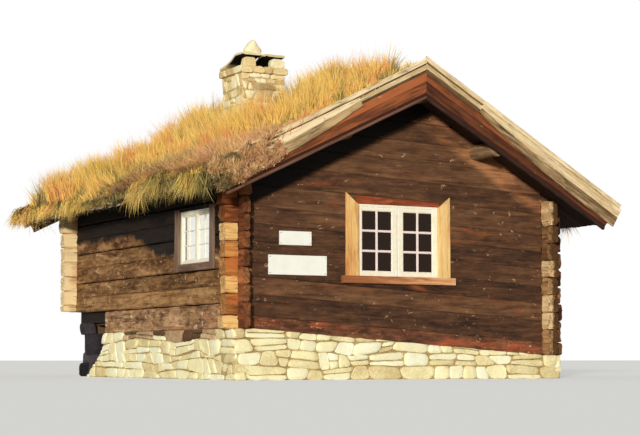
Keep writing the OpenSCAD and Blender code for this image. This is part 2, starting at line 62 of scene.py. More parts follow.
# Sizes shared with the CAD source
HALF_W, HALF_L = 2.35, 2.9
LOG_T, HEAD = 0.18, 0.15
IN_W, IN_L = HALF_W - LOG_T, HALF_L - LOG_T
SILL_LEFT, SILL_RIGHT, SILL_H, COURSE = 0.63, 0.31, 0.32, 0.217
LOGS, GABLE_H = 8, 0.255
EAVES_Z, RIDGE_Z, ROOF_X = 2.57, 3.745, 2.89
SIDES = ((-1, "left"), (1, "right"))
RISE = {-1: 0.5, 1: 0.58}
COS = {side: math.cos(math.atan(RISE[side])) for side in RISE}
SIN = {side: math.sin(math.atan(RISE[side])) for side in RISE}
EAVE_V = {side: ROOF_X / COS[side] for side in RISE}
LAYER_Y = 3.464
VERGE_Y, VERGE_T = 3.5, 0.036
BOARD_T, BARK_U, TURF_TOP = 0.028, 0.04, 0.195
PURLIN_X, PURLIN_Y, PURLIN_R, RIDGE_DROP = 1.12, 3.42, 0.105, 0.13
LOG_IN, LOG_U, EAVE_LOG_R = 0.105, 0.125, 0.055
GAP_Z, GAP_FOOT_Z, GAP_Y, GAP_DEPTH, GAP_W = 0.965, 0.79, 1.55, 0.1, 0.45
FOUND_OUT, FOUND_T = 0.07, 0.4
OUT_W, OUT_L = HALF_W + FOUND_OUT, HALF_L + FOUND_OUT
STACK = (-0.7, 0.07, 0.33)
RIM_Z, STACK_TOP, CAP = 4.285, 4.38, 0.138
WIN = (-0.692, 0.548, 1.31, 2.23)
SIDE_WIN = (-2.12, -1.12, 1.47, 2.18)
DOOR = (0.27, 1.13, 0.8, 2.46)

# Limits of the grass, and its share when the scene only has to be quick
GRASS_X, GRASS_Y = (-3.22, 3.235), 3.72
GRASS_SHARE = 1.0


def rgb(red, green, blue, level=1.0):
    """Colour written as it looks on a screen, 0 to 255, as linear light. level dims it."""
    parts = [c / 255 for c in (red, green, blue)]
    light = [c / 12.92 if c <= 0.04045 else ((c + 0.055) / 1.055) ** 2.4 for c in parts]
    return tuple(c * level for c in light) + (1.0,)


def xyz(x, y, z):
    return np.stack(np.broadcast_arrays(x, y, z), -1)


def unit(vectors):
    return vectors / np.linalg.norm(vectors, axis=-1, keepdims=True)


# Smooth noise
PRIMES = np.array([73856093, 19349663, 83492791])
SEED_STEP = 2654435761
FBM_RANGE = 1.75


def lattice(points, seed):
    """Value noise in -1..1 at points (n, 3)."""
    cell = np.floor(points).astype(np.int64)
    part = points - cell
    part = part * part * (3 - 2 * part)
    total = np.zeros(len(points))
    for corner in range(8):
        step = np.array([corner & 1, corner >> 1 & 1, corner >> 2 & 1])
        key = np.bitwise_xor.reduce((cell + step) * PRIMES, axis=1) ^ (seed * SEED_STEP & 0xFFFFFFFF)
        for shift, factor in ((13, 1274126177), (11, 461845907)):
            key = ((key ^ (key >> shift)) * factor) & 0xFFFFFF
        total += np.prod(np.where(step, part, 1 - part), axis=1) * (key / 0x7FFFFF - 1)
    return total


def fbm(points, scale, seed=0, octaves=3):
    """Several octaves of value noise. scale is per metre, one number or one for each axis."""
    flat = np.asarray(points, float).reshape(-1, 3) * scale + seed * 17.31
    total = sum(lattice(flat * 2**k, seed + k) * 0.5**k for k in range(octaves))
    return (total / FBM_RANGE).reshape(np.shape(points)[:-1])


# Meshes
class Shape:
    """Gathers the solids of one piece. look is the material of all that names no other."""

    def __init__(self, look):
        self.look = look
        self.verts, self.grain, self.tone, self.faces, self.count = [], [], [], [], 0

    def add(self, verts, faces, grain, tone=0.5, look=None, cap=None):
        """faces lists a solid's skin and then its ends, and cap is the material of the ends."""
        self.verts.append(verts)
        self.grain.append(grain)
        self.tone.append(np.broadcast_to(np.asarray(tone, float), (len(verts),)))
        look = look or self.look
        looks = [look] + [cap or look] * (len(faces) - 1)
        self.faces += [(part + self.count, own) for part, own in zip(faces, looks)]
        self.count += len(verts)


def piece(name, shape, slot, *replaces, sharp=35):
    """Makes the object of a shape, and says which body it rides on and what it stands for."""
    mesh = bpy.data.meshes.new(name)
    looks = list(dict.fromkeys(look for _, look in shape.faces))
    sizes = np.concatenate([np.full(len(part), part.shape[1]) for part, _ in shape.faces])
    picks = np.concatenate([np.full(len(part), looks.index(look)) for part, look in shape.faces])
    loops = np.concatenate([part.ravel() for part, _ in shape.faces])
    mesh.vertices.add(shape.count)
    mesh.vertices.foreach_set("co", np.concatenate(shape.verts).astype(np.float32).ravel())
    mesh.loops.add(len(loops))
    mesh.loops.foreach_set("vertex_index", loops.astype(np.int32))
    mesh.polygons.add(len(sizes))
    mesh.polygons.foreach_set("loop_start", (np.cumsum(sizes) - sizes).astype(np.int32))
    for look in looks:
        mesh.materials.append(look)
    mesh.polygons.foreach_set("material_index", picks.astype(np.int32))
    mesh.polygons.foreach_set("use_smooth", np.ones(len(sizes), bool))
    grain = mesh.attributes.new("grain", "FLOAT_VECTOR", "POINT")
    grain.data.foreach_set("vector", np.concatenate(shape.grain).astype(np.float32).ravel())
    tone = mesh.attributes.new("tone", "FLOAT", "POINT")
    tone.data.foreach_set("value", np.concatenate(shape.tone).astype(np.float32))
    mesh.update(calc_edges=True)
    if sharp:
        mesh.set_sharp_from_angle(angle=math.radians(sharp))
    obj = into_scene(name, mesh)
    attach(obj, "root")
    if replaces:
        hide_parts(*replaces)


def outward(verts, faces):
    """Turns the faces of a closed skin outwards."""
    volume = 0.0
    for f in faces:
        for k in range(1, f.shape[1] - 1):
            a, b, c = verts[f[:, 0]], verts[f[:, k]], verts[f[:, k + 1]]
            volume += np.einsum("ij,ij->i", a, np.cross(b, c)).sum()
    return faces if volume >= 0 else [f[:, ::-1] for f in faces]


def loft(shape, rings, grain=None, tone=0.5, look=None, cap=None):
    """Closed solid through rings of points, (stations, points, 3), with a fan at each end."""
    n, m = rings.shape[:2]
    i, j = np.arange(n - 1)[:, None] * m, np.arange(m)
    k = (j + 1) % m
    quads = np.stack([i + j, i + k, i + k + m, i + j + m], -1).reshape(-1, 4)
    first = np.stack([k, j, np.full(m, n * m)], -1)
    last = np.stack([j + (n - 1) * m, k + (n - 1) * m, np.full(m, n * m + 1)], -1)
    verts, coords = (np.concatenate([part.reshape(-1, 3), [part[0].mean(0), part[-1].mean(0)]])
                     for part in (rings, rings if grain is None else grain))
    shape.add(verts, outward(verts, [quads, first, last]), coords, tone, look, cap)


def between(a, b, count):
    """Points from a to just before b."""
    a, b = np.array(a), np.array(b)
    return [a + (b - a) * i / count for i in range(count)]


def section(width, height, cut, gap):
    """Outline of a rectangle with cut corners, with no side longer than gap."""
    cut = min(cut, width * 0.45, height * 0.45)
    corners = [(cut, 0), (width - cut, 0), (width, cut), (width, height - cut),
               (width - cut, height), (cut, height), (0, height - cut), (0, cut)]
    points = []
    for a, b in zip(corners, corners[1:] + corners[:1]):
        points += between(a, b, max(1, math.ceil(math.dist(a, b) / gap - 1e-6)))
    return np.array(points)


def timber(shape, place, s, lo, hi, d0, d1, seed, cut=0.006, gap=0.04, rough=0.002, scale=(3, 14, 14),
           tone=0.5, look=None, ends=0.003, shear=None, cap=None):
    """Log or board. s runs along it, a across its face from lo to hi, d into it from d0 to d1. cut is the
    size of its worn edges, gap the spacing of its points, rough and scale the unevenness of its faces, and
    ends that of its ends. shear(a) moves its start along s, for a cut that isn't square. tone may be a
    function of s."""
    s = np.asarray(s, float)
    lo, hi = np.broadcast_to(lo, s.shape), np.broadcast_to(hi, s.shape)
    height = float(np.mean(hi - lo))
    pts = section(d1 - d0, height, cut, gap)
    part = pts[:, 1] / height
    D = np.broadcast_to(d0 + pts[:, 0], (len(s), len(pts))).copy()
    A = lo[:, None] + part * (hi - lo)[:, None]
    S = np.repeat(s[:, None], len(pts), 1)
    if shear:
        S = S + (1 - (S - s[0]) / (s[-1] - s[0])) * shear(A)
    base = xyz(S, A, D)
    side = np.roll(pts, -1, 0) - np.roll(pts, 1, 0)
    side /= np.linalg.norm(side, axis=1)[:, None] + 1e-9
    push = fbm(base, np.array(scale), seed) * rough
    grain = base - np.array([0, (lo[0] + hi[0]) / 2, (d0 + d1) / 2]) + np.array([seed * 3.7, 0, 0])
    A = A - side[:, 0] * push
    D = D + side[:, 1] * push
    wobble = fbm(xyz(A, D, 0), 25, seed + 5)
    S[0] += wobble[0] * ends
    S[-1] += wobble[-1] * ends
    if callable(tone):
        tone = tone(np.append(S.ravel(), [s[0], s[-1]]))
    loft(shape, place(S, A, D), grain, tone, look, cap)


def run_of(path):
    """Length along a path, up to each of its points."""
    return np.concatenate([[0], np.cumsum(np.linalg.norm(np.diff(path, axis=0), axis=1))])


def rod(shape, path, radii, seed, around=12, rough=0.004, scale=14, tone=0.5):
    """Round timber or branch that follows a path of points."""
    path = np.asarray(path, float)
    radii = np.broadcast_to(radii, (len(path),))[:, None]
    along = unit(np.gradient(path, axis=0))
    right = unit(np.cross(along, np.eye(3)[np.abs(along).max(0).argmin()]))
    up = np.cross(right, along)
    turn = np.arange(around) * 2 * math.pi / around
    spin = right[:, None] * np.cos(turn)[None, :, None] + up[:, None] * np.sin(turn)[None, :, None]
    grow = 1 + fbm(path[:, None] + spin * radii[..., None], scale, seed) * rough / radii
    rings = path[:, None] + spin * (radii * grow)[..., None]
    grain = xyz(run_of(path)[:, None], radii * np.cos(turn), radii * np.sin(turn))
    loft(shape, rings, grain + np.array([seed * 3.7, 0, 0]), tone)


def steps(a, b, gap):
    """Stations from a to b, no further apart than gap."""
    return np.linspace(a, b, max(2, math.ceil(abs(b - a) / gap) + 1))


def face(axis, at, sign):
    """Place for what lies on a wall: at is the wall's outer face, and d goes in from it."""
    if axis == "y":
        return lambda s, a, d: xyz(s, at - sign * d, a)
    return lambda s, a, d: xyz(at - sign * d, s, a)


front, back = face("y", -HALF_L, -1), face("y", HALF_L, 1)
left, right = face("x", -HALF_W, -1), face("x", HALF_W, 1)


def slope(side, v, y, u):
    """Point on the roof: v down the slope from the ridge, u above the underside of the boards."""
    c, s = (np.where(np.asarray(side) < 0, part[-1], part[1]) for part in (COS, SIN))
    return xyz(side * (v * c + u * s), y, RIDGE_Z - v * s + u * c)


def soffit(x):
    return RIDGE_Z - np.abs(x) * np.where(np.asarray(x) < 0, RISE[-1], RISE[1])


# Materials. Their colours are numbers from 0 to 255, and a fourth number dims one.
class Value:
    """What a node puts out. Arithmetic with it adds Math nodes."""

    def __init__(self, nodes, socket):
        self.nodes, self.socket = nodes, socket

    def __add__(self, other):
        return self.nodes.math("ADD", self, other)

    def __sub__(self, other):
        return self.nodes.math("SUBTRACT", self, other)

    def __rsub__(self, other):
        return self.nodes.math("SUBTRACT", other, self)

    def __mul__(self, other):
        return self.nodes.math("MULTIPLY", self, other)

    def __abs__(self):
        return self.nodes.math("ABSOLUTE", self)


class Nodes:
    """Short way to write the nodes of a material or of the world."""

    def __init__(self, owner):
        owner.use_nodes = True
        self.owner, self.tree = owner, owner.node_tree

    def put(self, socket, value):
        if isinstance(value, Value):
            self.tree.links.new(value.socket, socket)
        else:
            socket.default_value = rgb(*value) if socket.type == "RGBA" else value

    def add(self, kind, values=(), out=0, **settings):
        node = self.tree.nodes.new("ShaderNode" + kind)
        for key, value in settings.items():
            setattr(node, key, value)
        for key, value in dict(values).items():
            self.put(node.inputs[key], value)
        return Value(self, node.outputs[out])

    def coords(self):
        return self.add("TexCoord", out="Object")

    def grain(self):
        return self.add("Attribute", out="Vector", attribute_name="grain")

    def tone(self):
        return self.add("Attribute", out="Fac", attribute_name="tone")

    def split(self, vector):
        outputs = self.add("SeparateXYZ", {"Vector": vector}).socket.node.outputs
        return [Value(self, socket) for socket in outputs]

    def join(self, *numbers):
        return self.add("CombineXYZ", enumerate(numbers))

    def stretch(self, vector, scale):
        return self.add("Mapping", {"Vector": vector, "Scale": scale})

    def noise(self, vector, scale, detail=4.0, rough=0.55, warp=0.0):
        values = {"Vector": vector, "Scale": scale, "Detail": detail, "Roughness": rough, "Distortion": warp}
        return self.add("TexNoise", values)

    def math(self, operation, *values):
        return self.add("Math", enumerate(values), operation=operation)

    def band(self, value, low, high, to_low=0.0, to_high=1.0):
        """Value from low to high as a value from to_low to to_high, and no further."""
        values = {"Value": value, "From Min": low, "From Max": high, "To Min": to_low, "To Max": to_high}
        return self.add("MapRange", values)

    def ramp(self, value, *stops):
        ramp = self.add("ValToRGB", {"Fac": value})
        points = ramp.socket.node.color_ramp.elements
        while len(points) < len(stops):
            points.new(0.5)
        for point, (at, colour) in zip(points, stops):
            point.position, point.color = at, rgb(*colour)
        return ramp

    def mix(self, factor, a, b):
        return self.add("Mix", {0: factor, 6: a, 7: b}, out=2, data_type="RGBA")


class Material(Nodes):
    """Nodes that end in one shader."""

    def __init__(self, name, roughness=0.8, specular=0.3, metallic=0.0):
        super().__init__(bpy.data.materials.new(name))
        self.shader = self.tree.nodes["Principled BSDF"]
        values = {"Roughness": roughness, "Specular IOR Level": specular, "Metallic": metallic}
        for key, value in values.items():
            self.put(self.shader.inputs[key], value)

    def done(self, colour, height=None, distance=0.003, strength=0.8):
        """Sets the colour, and bumps as high as distance."""
        self.put(self.shader.inputs["Base Color"], colour)
        if height:
            bump = self.add("Bump", {"Height": height, "Distance": distance, "Strength": strength})
            self.put(self.shader.inputs["Normal"], bump)
        return self.owner


def wood(name, dark, mid, light, streak=22, check=0.5, patch=None, specks=None, depth=0.004, spread=0.5,
         broad=0.5, mottle=0.0, sooty=None, eaves=False):
    """Wood whose grain follows the piece. streak is how fine its grain is, and check how dark its cracks.
    patch and specks give worn patches and flakes, each by its colour and how rare it is. spread, broad and
    mottle are how far the shade varies from log to log, over a log and in blots. sooty is the
    stretch of height above which a near black painted shadow of the eave covers it, reaching lower towards
    the front. eaves adds painted light and shade along the two verges: a near black painted shadow under
    the left verge and a lighter painted lit strip, called bare, under the right one."""
    n = Material(name, 0.82, 0.25)
    g = n.grain()

    def grained(along, *noise):
        """Noise drawn out along the grain."""
        return n.noise(n.stretch(g, (along, 1, 1)), *noise)

    streaks, fibres = grained(0.09, streak, 5, 0.62, 0.6), grained(0.03, streak * 9, 3, 0.6)
    cloud = grained(0.3, 4.2, 3, 0.6)
    value = streaks * 0.75 + fibres * 0.25 + (n.tone() - 0.5) * spread + (cloud - 0.5) * broad
    if mottle:
        value += (grained(0.45, 13, 3, 0.65, 0.5) - 0.5) * mottle
    colour = n.ramp(value, (0.24, dark), (0.5, mid), (0.78, light))
    if patch:
        worn = n.band(grained(0.22, 5.5, 4, 0.65, 0.5), patch[1], patch[1] + 0.13)
        colour = n.mix(worn, colour, n.mix(streaks, mid, patch[0]))
    lines = grained(0.035, streak * 1.3, 2, 0.5, 0.3)
    cracks = n.band(abs(lines - 0.47), 0.0, 0.022, 1.0, 0.0) * (n.band(grained(0.5, 6, 2), 0.45, 0.6) * check)
    colour = n.mix(cracks, colour, (*dark, 0.25))
    if specks:
        flakes = n.band(grained(0.6, 19, 3, 0.6, 0.6), specks[1], specks[1] + 0.05)
        colour = n.mix(flakes * n.band(n.noise(g, 3.1, 3, 0.6), 0.44, 0.6) * 0.8, colour, specks[0])
    if eaves or sooty:
        across, back_to, up = n.split(n.coords())
    if eaves:
        drop = RIDGE_Z - up
        # Painted light: bare is a lighter warm strip along the top of the wall under the right verge.
        bare = n.band(across * -RISE[1] + drop, 0.36, 0.26, 0.0, 0.7) * n.band(cloud, 0.42, 0.58, 0.25, 1.0)
        colour = n.mix(bare, colour, n.mix(n.band(value, 0.3, 0.7), (104, 62, 36), (206, 140, 90)))
        # Painted shadow: a near black band under the left verge, where the verge casts its shadow on the
        # wall.
        painted_verge_shadow = n.band(streaks * 0.05 + (across * RISE[-1] + drop), 0.495, 0.53, 0.96, 0.0)
        colour = n.mix(painted_verge_shadow, colour, (14, 9, 7))
    if sooty:
        # Painted shadow of the eave: near black above the edge, which reaches lower towards the front.
        edge = up + n.band(back_to, -0.45, 0.5, 0.36, 0.0) + n.noise(g, 3.2, 4, 0.7) * 0.3 + streaks * 0.12
        colour = n.mix(n.band(edge, *sooty, 0.0, 0.97), colour, n.mix(streaks, (7, 5, 4), (27, 19, 13)))
    return n.done(colour, streaks * 0.6 + fibres * 0.25 - cracks, depth)


def end_grain(name, dark, mid, light, outer=0.0):
    """Sawn or hewn end of a log: rings round its heart, and cracks that run out from it. outer is how much
    painted shade darkens it towards the outer face of the wall."""
    n = Material(name, 0.85, 0.2)
    _, x, y = n.split(n.grain())
    out = n.math("SQRT", x * x + y * y)
    cloud = n.noise(n.coords(), 16, 4, 0.65)
    rings = n.noise(n.join(cloud * 0.03 + out), 95, 2, 0.6)
    turn = cloud * 0.5 + n.math("ARCTAN2", y, x)
    rays = n.noise(n.join(turn, out * 2.0, n.tone()), 3.2, 2, 0.5)
    cracks = n.band(abs(rays - 0.5), 0.0, 0.03, 0.8, 0.0)
    value = rings * 0.5 + cloud * 0.5 + (n.tone() - 0.5) * 0.6
    # Painted shade: darker towards the outer face of the wall.
    value -= n.band(cloud * 0.08 + y, 0.06, 0.005, 0.0, outer)
    colour = n.mix(cracks, n.ramp(value, (0.25, dark), (0.5, mid), (0.75, light)), (*dark, 0.2))
    return n.done(colour, rings - cracks, 0.006)


def masonry(name, dark, mid, light, stain, grit=38, stained=0.57, spread=0.75, soot=None):
    """Weathered stone, each stone of its own shade. soot is the colour of the cap's faces that
    look down: soot, and painted shade under the cap.
    """
    n = Material(name, 0.9, 0.2)
    p = n.coords()
    broad, fine = n.noise(p, 3.1, 4, 0.6), n.noise(p, grit, 5, 0.7)
    value = broad * 0.5 + fine * 0.5 + (n.tone() - 0.5) * spread
    colour = n.ramp(value, (0.2, dark), (0.45, mid), (0.7, light))
    lichen = n.band(n.noise(p, 9.5, 5, 0.7, 0.4), stained, stained + 0.09)
    pits = n.band(n.noise(p, 95, 2, 0.5), 0.66, 0.74)
    colour = n.mix(pits * 0.45, n.mix(lichen * 0.55, colour, stain), dark)
    if soot:
        # Soot and painted shade on the faces that look down, high on the chimney cap.
        facing = n.split(n.add("NewGeometry", out="True Normal"))[2]
        high = n.band(n.split(p)[2], STACK_TOP + 0.03, STACK_TOP + 0.07)
        colour = n.mix(n.band(facing, -0.45, -0.75) * high, colour, soot)
    return n.done(colour, fine + broad - pits, 0.006)


def plain(name, base, vary, scale, rough, amount, depth=0.0012, specular=0.4):
    """Paint, enamel or iron: one colour with slight wear."""
    n = Material(name, rough, specular)
    p = n.coords()
    cloud = n.band(n.noise(p, scale, 5, 0.65), 0.42, 0.75)
    return n.done(n.mix(cloud * amount, base, vary), n.noise(p, scale * 6, 3), depth, 0.5)


def glass(name, colour, rough, gloss, mirror=0.0):
    n = Material(name, rough, gloss, mirror)
    ripple = n.noise(n.coords(), 9, 2)
    return n.done(n.mix(ripple, colour, (*colour, 0.8)), ripple, 0.002, 0.25)


def bark():
    n = Material("birch_bark", 0.6, 0.3)
    p = n.coords()
    cloud = n.noise(p, 7, 4, 0.6)
    lines = n.band(n.noise(n.stretch(p, (8, 0.8, 8)), 14, 3, 0.6), 0.58, 0.66)
    # Mostly dark: weathered bark deepened with painted shade, as it lies under the hanging grass.
    colour = n.ramp(cloud, (0.36, (52, 37, 26)), (0.52, (98, 76, 56)), (0.64, (222, 210, 188)))
    return n.done(n.mix(lines, colour, (40, 28, 20)), cloud - lines, 0.003, 0.6)


def earth():
    n = Material("turf", 0.95, 0.1)
    p = n.coords()
    broad, fine = n.noise(p, 2.2, 4, 0.6), n.noise(p, 26, 5, 0.7)
    colour = n.ramp(broad * 0.55 + fine * 0.45, (0.3, (52, 36, 18)), (0.46, (104, 82, 36)),
                    (0.56, (134, 122, 54)), (0.7, (188, 156, 84)))
    return n.done(colour, fine, 0.03, 0.9)


def blades(name, root, foot, *stops):
    """Grass or heather: tone picks the colour of a blade, and grain's second number is the height on it.
    foot is how far up the root's colour reaches, and how much of it there is at the ground. The dark root
    is the stems' own browner colour, deepened with painted shade low among the blades."""
    n = Material(name, 0.75, 0.2)
    pick, height, _ = n.split(n.grain())
    colour = n.ramp(n.tone() + (n.noise(n.coords(), 1.4, 3, 0.6) - 0.5) * 0.5, *stops)
    colour = n.mix(pick * 0.4, colour, (255, 236, 160))
    # Darker towards the root: browner stems and painted shade low among the blades.
    return n.done(n.mix(n.band(height, foot[0], 0.0, 0.0, foot[1]), colour, root))


# TAR and TAR_TOP paint the verges' light and shade: a shadow under the left verge, a lit strip under the
# right.
TAR = wood("tarred_log", (42, 25, 15), (88, 57, 36), (128, 89, 58), 20, 0.6, ((172, 88, 48), 0.6),
           ((212, 178, 138), 0.645), spread=0.42, mottle=0.4, eaves=True)
TAR_LOW = wood("worn_tarred_log", (46, 26, 17), (92, 55, 36), (136, 86, 56), 20, 0.7,
               ((220, 108, 66), 0.53), ((226, 180, 140), 0.61), spread=0.3, mottle=1.0)
TAR_TOP = wood("bare_top_log", (50, 29, 18), (92, 60, 38), (128, 88, 56), 20, 0.6, ((206, 118, 58), 0.6),
               ((222, 180, 140), 0.66), spread=0.32, broad=0.35, mottle=0.4, eaves=True)
BLACK_LOG = wood("shaded_log", (14, 10, 8), (30, 22, 17), (52, 39, 29), 20)
RED_LOG = wood("red_log", (44, 22, 14), (118, 56, 32), (190, 90, 48), 20, 0.8, ((226, 132, 76), 0.6),
               spread=0.3)
# The side walls' top is painted near black as the eave's shadow.
SIDE = wood("weathered_log", (74, 45, 21), (136, 96, 55), (188, 144, 92), 20, 0.9, ((232, 176, 122), 0.55),
            ((244, 212, 164), 0.62), depth=0.006, spread=0.35, broad=0.6, mottle=0.8, sooty=(2.13, 2.22))
SIDE_LOW = wood("worn_sill", (90, 56, 36), (178, 136, 94), (232, 194, 148), 18, 0.9,
                ((190, 110, 80), 0.57), ((248, 222, 186), 0.57), depth=0.007, mottle=0.9)
HEADS = wood("log_head", (112, 56, 24), (204, 132, 64), (248, 200, 124), 16, 0.9, ((176, 76, 36), 0.5),
             depth=0.008, spread=0.8)
RED_HEADS = wood("red_log_head", (58, 28, 16), (126, 72, 40), (186, 118, 66), 16, 0.9,
                 ((216, 134, 74), 0.56), depth=0.008, spread=0.9)
PALE_HEADS = wood("pale_log_head", (112, 72, 42), (206, 160, 108), (248, 218, 162), 16, 0.9,
                  ((160, 96, 58), 0.56), depth=0.008, spread=0.8)
HEAD_ENDS = end_grain("log_head_end", (110, 60, 30), (196, 138, 78), (240, 196, 130))
RED_ENDS = end_grain("red_log_head_end", (56, 28, 16), (132, 78, 44), (196, 130, 78))
PALE_ENDS = end_grain("pale_log_head_end", (96, 64, 40), (196, 154, 106), (244, 214, 160))
# Ends of the right wall's heads, with painted shade towards the outer face.
HALF_SHADED_ENDS = end_grain("half_dark_log_head_end", (92, 62, 34), (190, 146, 96), (244, 212, 158), 0.5)
# Near black roof boards: painted shade on the underside of the roof.
SHADED_SOFFIT = wood("roof_board", (24, 16, 11), (46, 32, 23), (72, 52, 37), 26, 0.4)
PURLIN = wood("purlin", (70, 48, 32), (126, 96, 66), (196, 160, 112), 20, 0.6)
BARGE = wood("bargeboard", (60, 28, 14), (112, 62, 34), (178, 100, 56), 26, 0.6, ((178, 98, 54), 0.62),
             ((206, 150, 108), 0.68), spread=0.7)
BARGE_EDGE = wood("bargeboard_edge", (38, 21, 14), (82, 53, 39), (126, 88, 67), 26, spread=1.0)
PLANK = wood("verge_plank", (104, 78, 50), (200, 168, 118), (255, 230, 182), 30, 0.9,
             ((150, 116, 80), 0.56), spread=0.75)
GREY_PLANK = wood("grey_verge_plank", (70, 52, 32), (120, 96, 62), (170, 144, 100), 30, 0.8)
PEELED = wood("peeled_log", (120, 92, 62), (190, 160, 114), (232, 210, 166), 18, 0.7, ((120, 88, 56), 0.6))
HONEY = wood("honey_board", (196, 124, 60), (242, 192, 118), (255, 226, 158), 26, 0.5, ((206, 112, 54), 0.58))
SILL = wood("sill_board", (160, 98, 58), (216, 152, 100), (246, 200, 148), 26)
# Casing of the left window: darkened as painted shade under the eave.
SHADED_CASING = wood("side_casing", (66, 48, 38), (114, 88, 70), (160, 130, 108), 26, 0.6)
DOOR_WOOD = wood("door_wood", (70, 44, 26), (118, 80, 50), (160, 118, 78), 26, 0.6)
FLOOR_WOOD = wood("floor_wood", (104, 80, 54), (150, 120, 86), (184, 156, 118), 24, 0.4)
WHITE = plain("white_paint", (254, 246, 222), (232, 206, 160), 16, 0.5, 0.45)
MUNTIN = plain("bar_paint", (250, 232, 222), (222, 180, 160), 16, 0.5, 0.45)
PLATE = plain("plate_white", (253, 252, 238), (236, 230, 210), 9, 0.35, 0.35)
IRON = plain("iron", (52, 46, 42), (104, 66, 44), 40, 0.6, 0.7, 0.002, 0.5)
RUBBLE = masonry("rubble", (212, 186, 128), (252, 240, 186), (255, 252, 218), (232, 200, 136),
                 stained=0.6, spread=0.42)
SHADY_RUBBLE = masonry("brown_rubble", (96, 70, 46), (162, 128, 92), (216, 184, 140), (150, 90, 66))
CHIMNEY = masonry("chimney_stone", (172, 140, 90), (238, 212, 150), (255, 244, 200), (210, 196, 128),
                  spread=0.5)
CAP_STONE = masonry("sooty_cap_stone", (160, 130, 84), (226, 200, 142), (252, 240, 196), (200, 186, 120),
                    spread=0.5, soot=(16, 12, 10))
LIME = masonry("lime_mortar", (176, 152, 108), (230, 212, 164), (250, 240, 204), (196, 170, 110), 60)
# Near black stones of the open rear corner: painted shade.
SHADED_STONE = masonry("dark_stone", (22, 18, 20), (50, 43, 47), (84, 74, 79), (58, 51, 44))
CORE = masonry("joint_earth", (136, 112, 70), (202, 178, 126), (234, 214, 164), (130, 118, 66))
# Front panes: opaque dark brown, painted shade of the dark room behind them.
SHADE_PAINTED_GLASS = glass("dark_glass", (44, 30, 21), 0.12, 0.1)
# Left panes: near white, a painted reflection of the bright sky together with real gloss.
SKY_PAINTED_GLASS = glass("sky_glass", (252, 252, 244), 0.05, 0.5, 0.75)
GRASS = blades("grass", (122, 90, 36), (0.38, 0.72), (0.02, (74, 56, 28)), (0.16, (158, 136, 66)),
               (0.3, (220, 184, 84)), (0.46, (255, 206, 96)), (0.68, (255, 216, 112)), (0.9, (244, 158, 84)))
PALE_HEATHER = blades("pale_heather", (62, 38, 22), (0.5, 0.9), (0.1, (104, 70, 42)),
                      (0.4, (226, 170, 116)), (0.64, (255, 220, 164)), (0.88, (240, 178, 140)))
HEATHER = blades("heather", (52, 33, 17), (0.5, 0.9), (0.12, (84, 68, 34)), (0.36, (190, 146, 80)),
                 (0.62, (248, 192, 124)), (0.88, (214, 146, 116)))


# Log walls
def side_seam(side, k):
    """Height of seam k of a side wall. The courses of the right wall are taller in proportion."""
    z = SILL_LEFT if k <= 0 else EAVES_Z if k >= LOGS else SILL_LEFT + SILL_H + (k - 1) * COURSE
    top = float(soffit(HALF_W))
    return z if side < 0 else top - (EAVES_Z - z) * (top - SILL_RIGHT) / (EAVES_Z - SILL_LEFT)


def gable_seam(side, k):
    """Height of seam k of a gable wall at one side."""
    if k <= 0:
        return side_seam(side, 0)
    if k <= LOGS:
        return (side_seam(side, k - 1) + side_seam(side, k)) / 2
    return gable_seam(side, LOGS) + (k - LOGS) * GABLE_H


def course(shape, place, s0, s1, lo, hi, hole, seed, over=None, **looks):
    """One log, cut round a hole. lo and hi give its edges, over the look of what is left above the hole."""
    ends = [s0, s1]
    if hole:
        at = np.array(hole[:2])
        if np.min(lo(at)) < hole[3] - 0.005 and np.max(hi(at)) > hole[2] + 0.005:
            ends[1:1] = hole[:2]
    for a, b in zip(ends, ends[1:]):
        s = steps(a, b, 0.085)
        parts = [(lo(s), hi(s))]
        if hole and (a, b) == hole[:2]:
            parts = [(lo(s), np.minimum(hi(s), hole[2])), (np.maximum(lo(s), hole[3]), hi(s))]
        for i, (z0, z1) in enumerate(parts):
            if np.mean(z1 - z0) > 0.012:
                own = {**looks, "look": over} if i and over else looks
                timber(shape, place, s, z0, np.maximum(z1, z0 + 0.004), 0, LOG_T, seed, ends=0.0, **own)


def head(shape, place, side, half, z0, z1, seed, look, cap, thick=LOG_T, reach=(0.84, 1.12),
         tones=(0.1, 0.95), fade=0.0):
    """Hewn end of a log that passes the corner, at half on one side. reach, tones and fade are how far it
    sticks out, how light it is, and how much lighter than that at its end; a negative fade paints shade
    towards the end."""
    rng = np.random.default_rng(seed)
    s0, s1 = side * half, side * (half + HEAD)
    end = s0 + (s1 - s0) * rng.uniform(*reach)
    z0, z1 = z0 + 0.001, z1 - 0.001
    mid, high = (z0 + z1) / 2, (z1 - z0) / 2
    swell = 1 - 0.07 * np.linspace(0, 1, 6) ** 3 + rng.uniform(-0.02, 0.02, 6)
    d0, d1, cut = rng.uniform(-0.004, 0.008), thick - rng.uniform(0.004, 0.016), rng.uniform(0.012, 0.026)
    tone = rng.uniform(*tones)
    timber(shape, place, np.linspace(s0, end, 6), mid - high * swell, mid + high * swell, d0, d1, seed,
           cut=cut, gap=0.03, rough=0.016, scale=(6, 11, 11), look=look, ends=0.022, cap=cap,
           tone=lambda s: tone + fade * ((s - s0) / HEAD) ** 2)


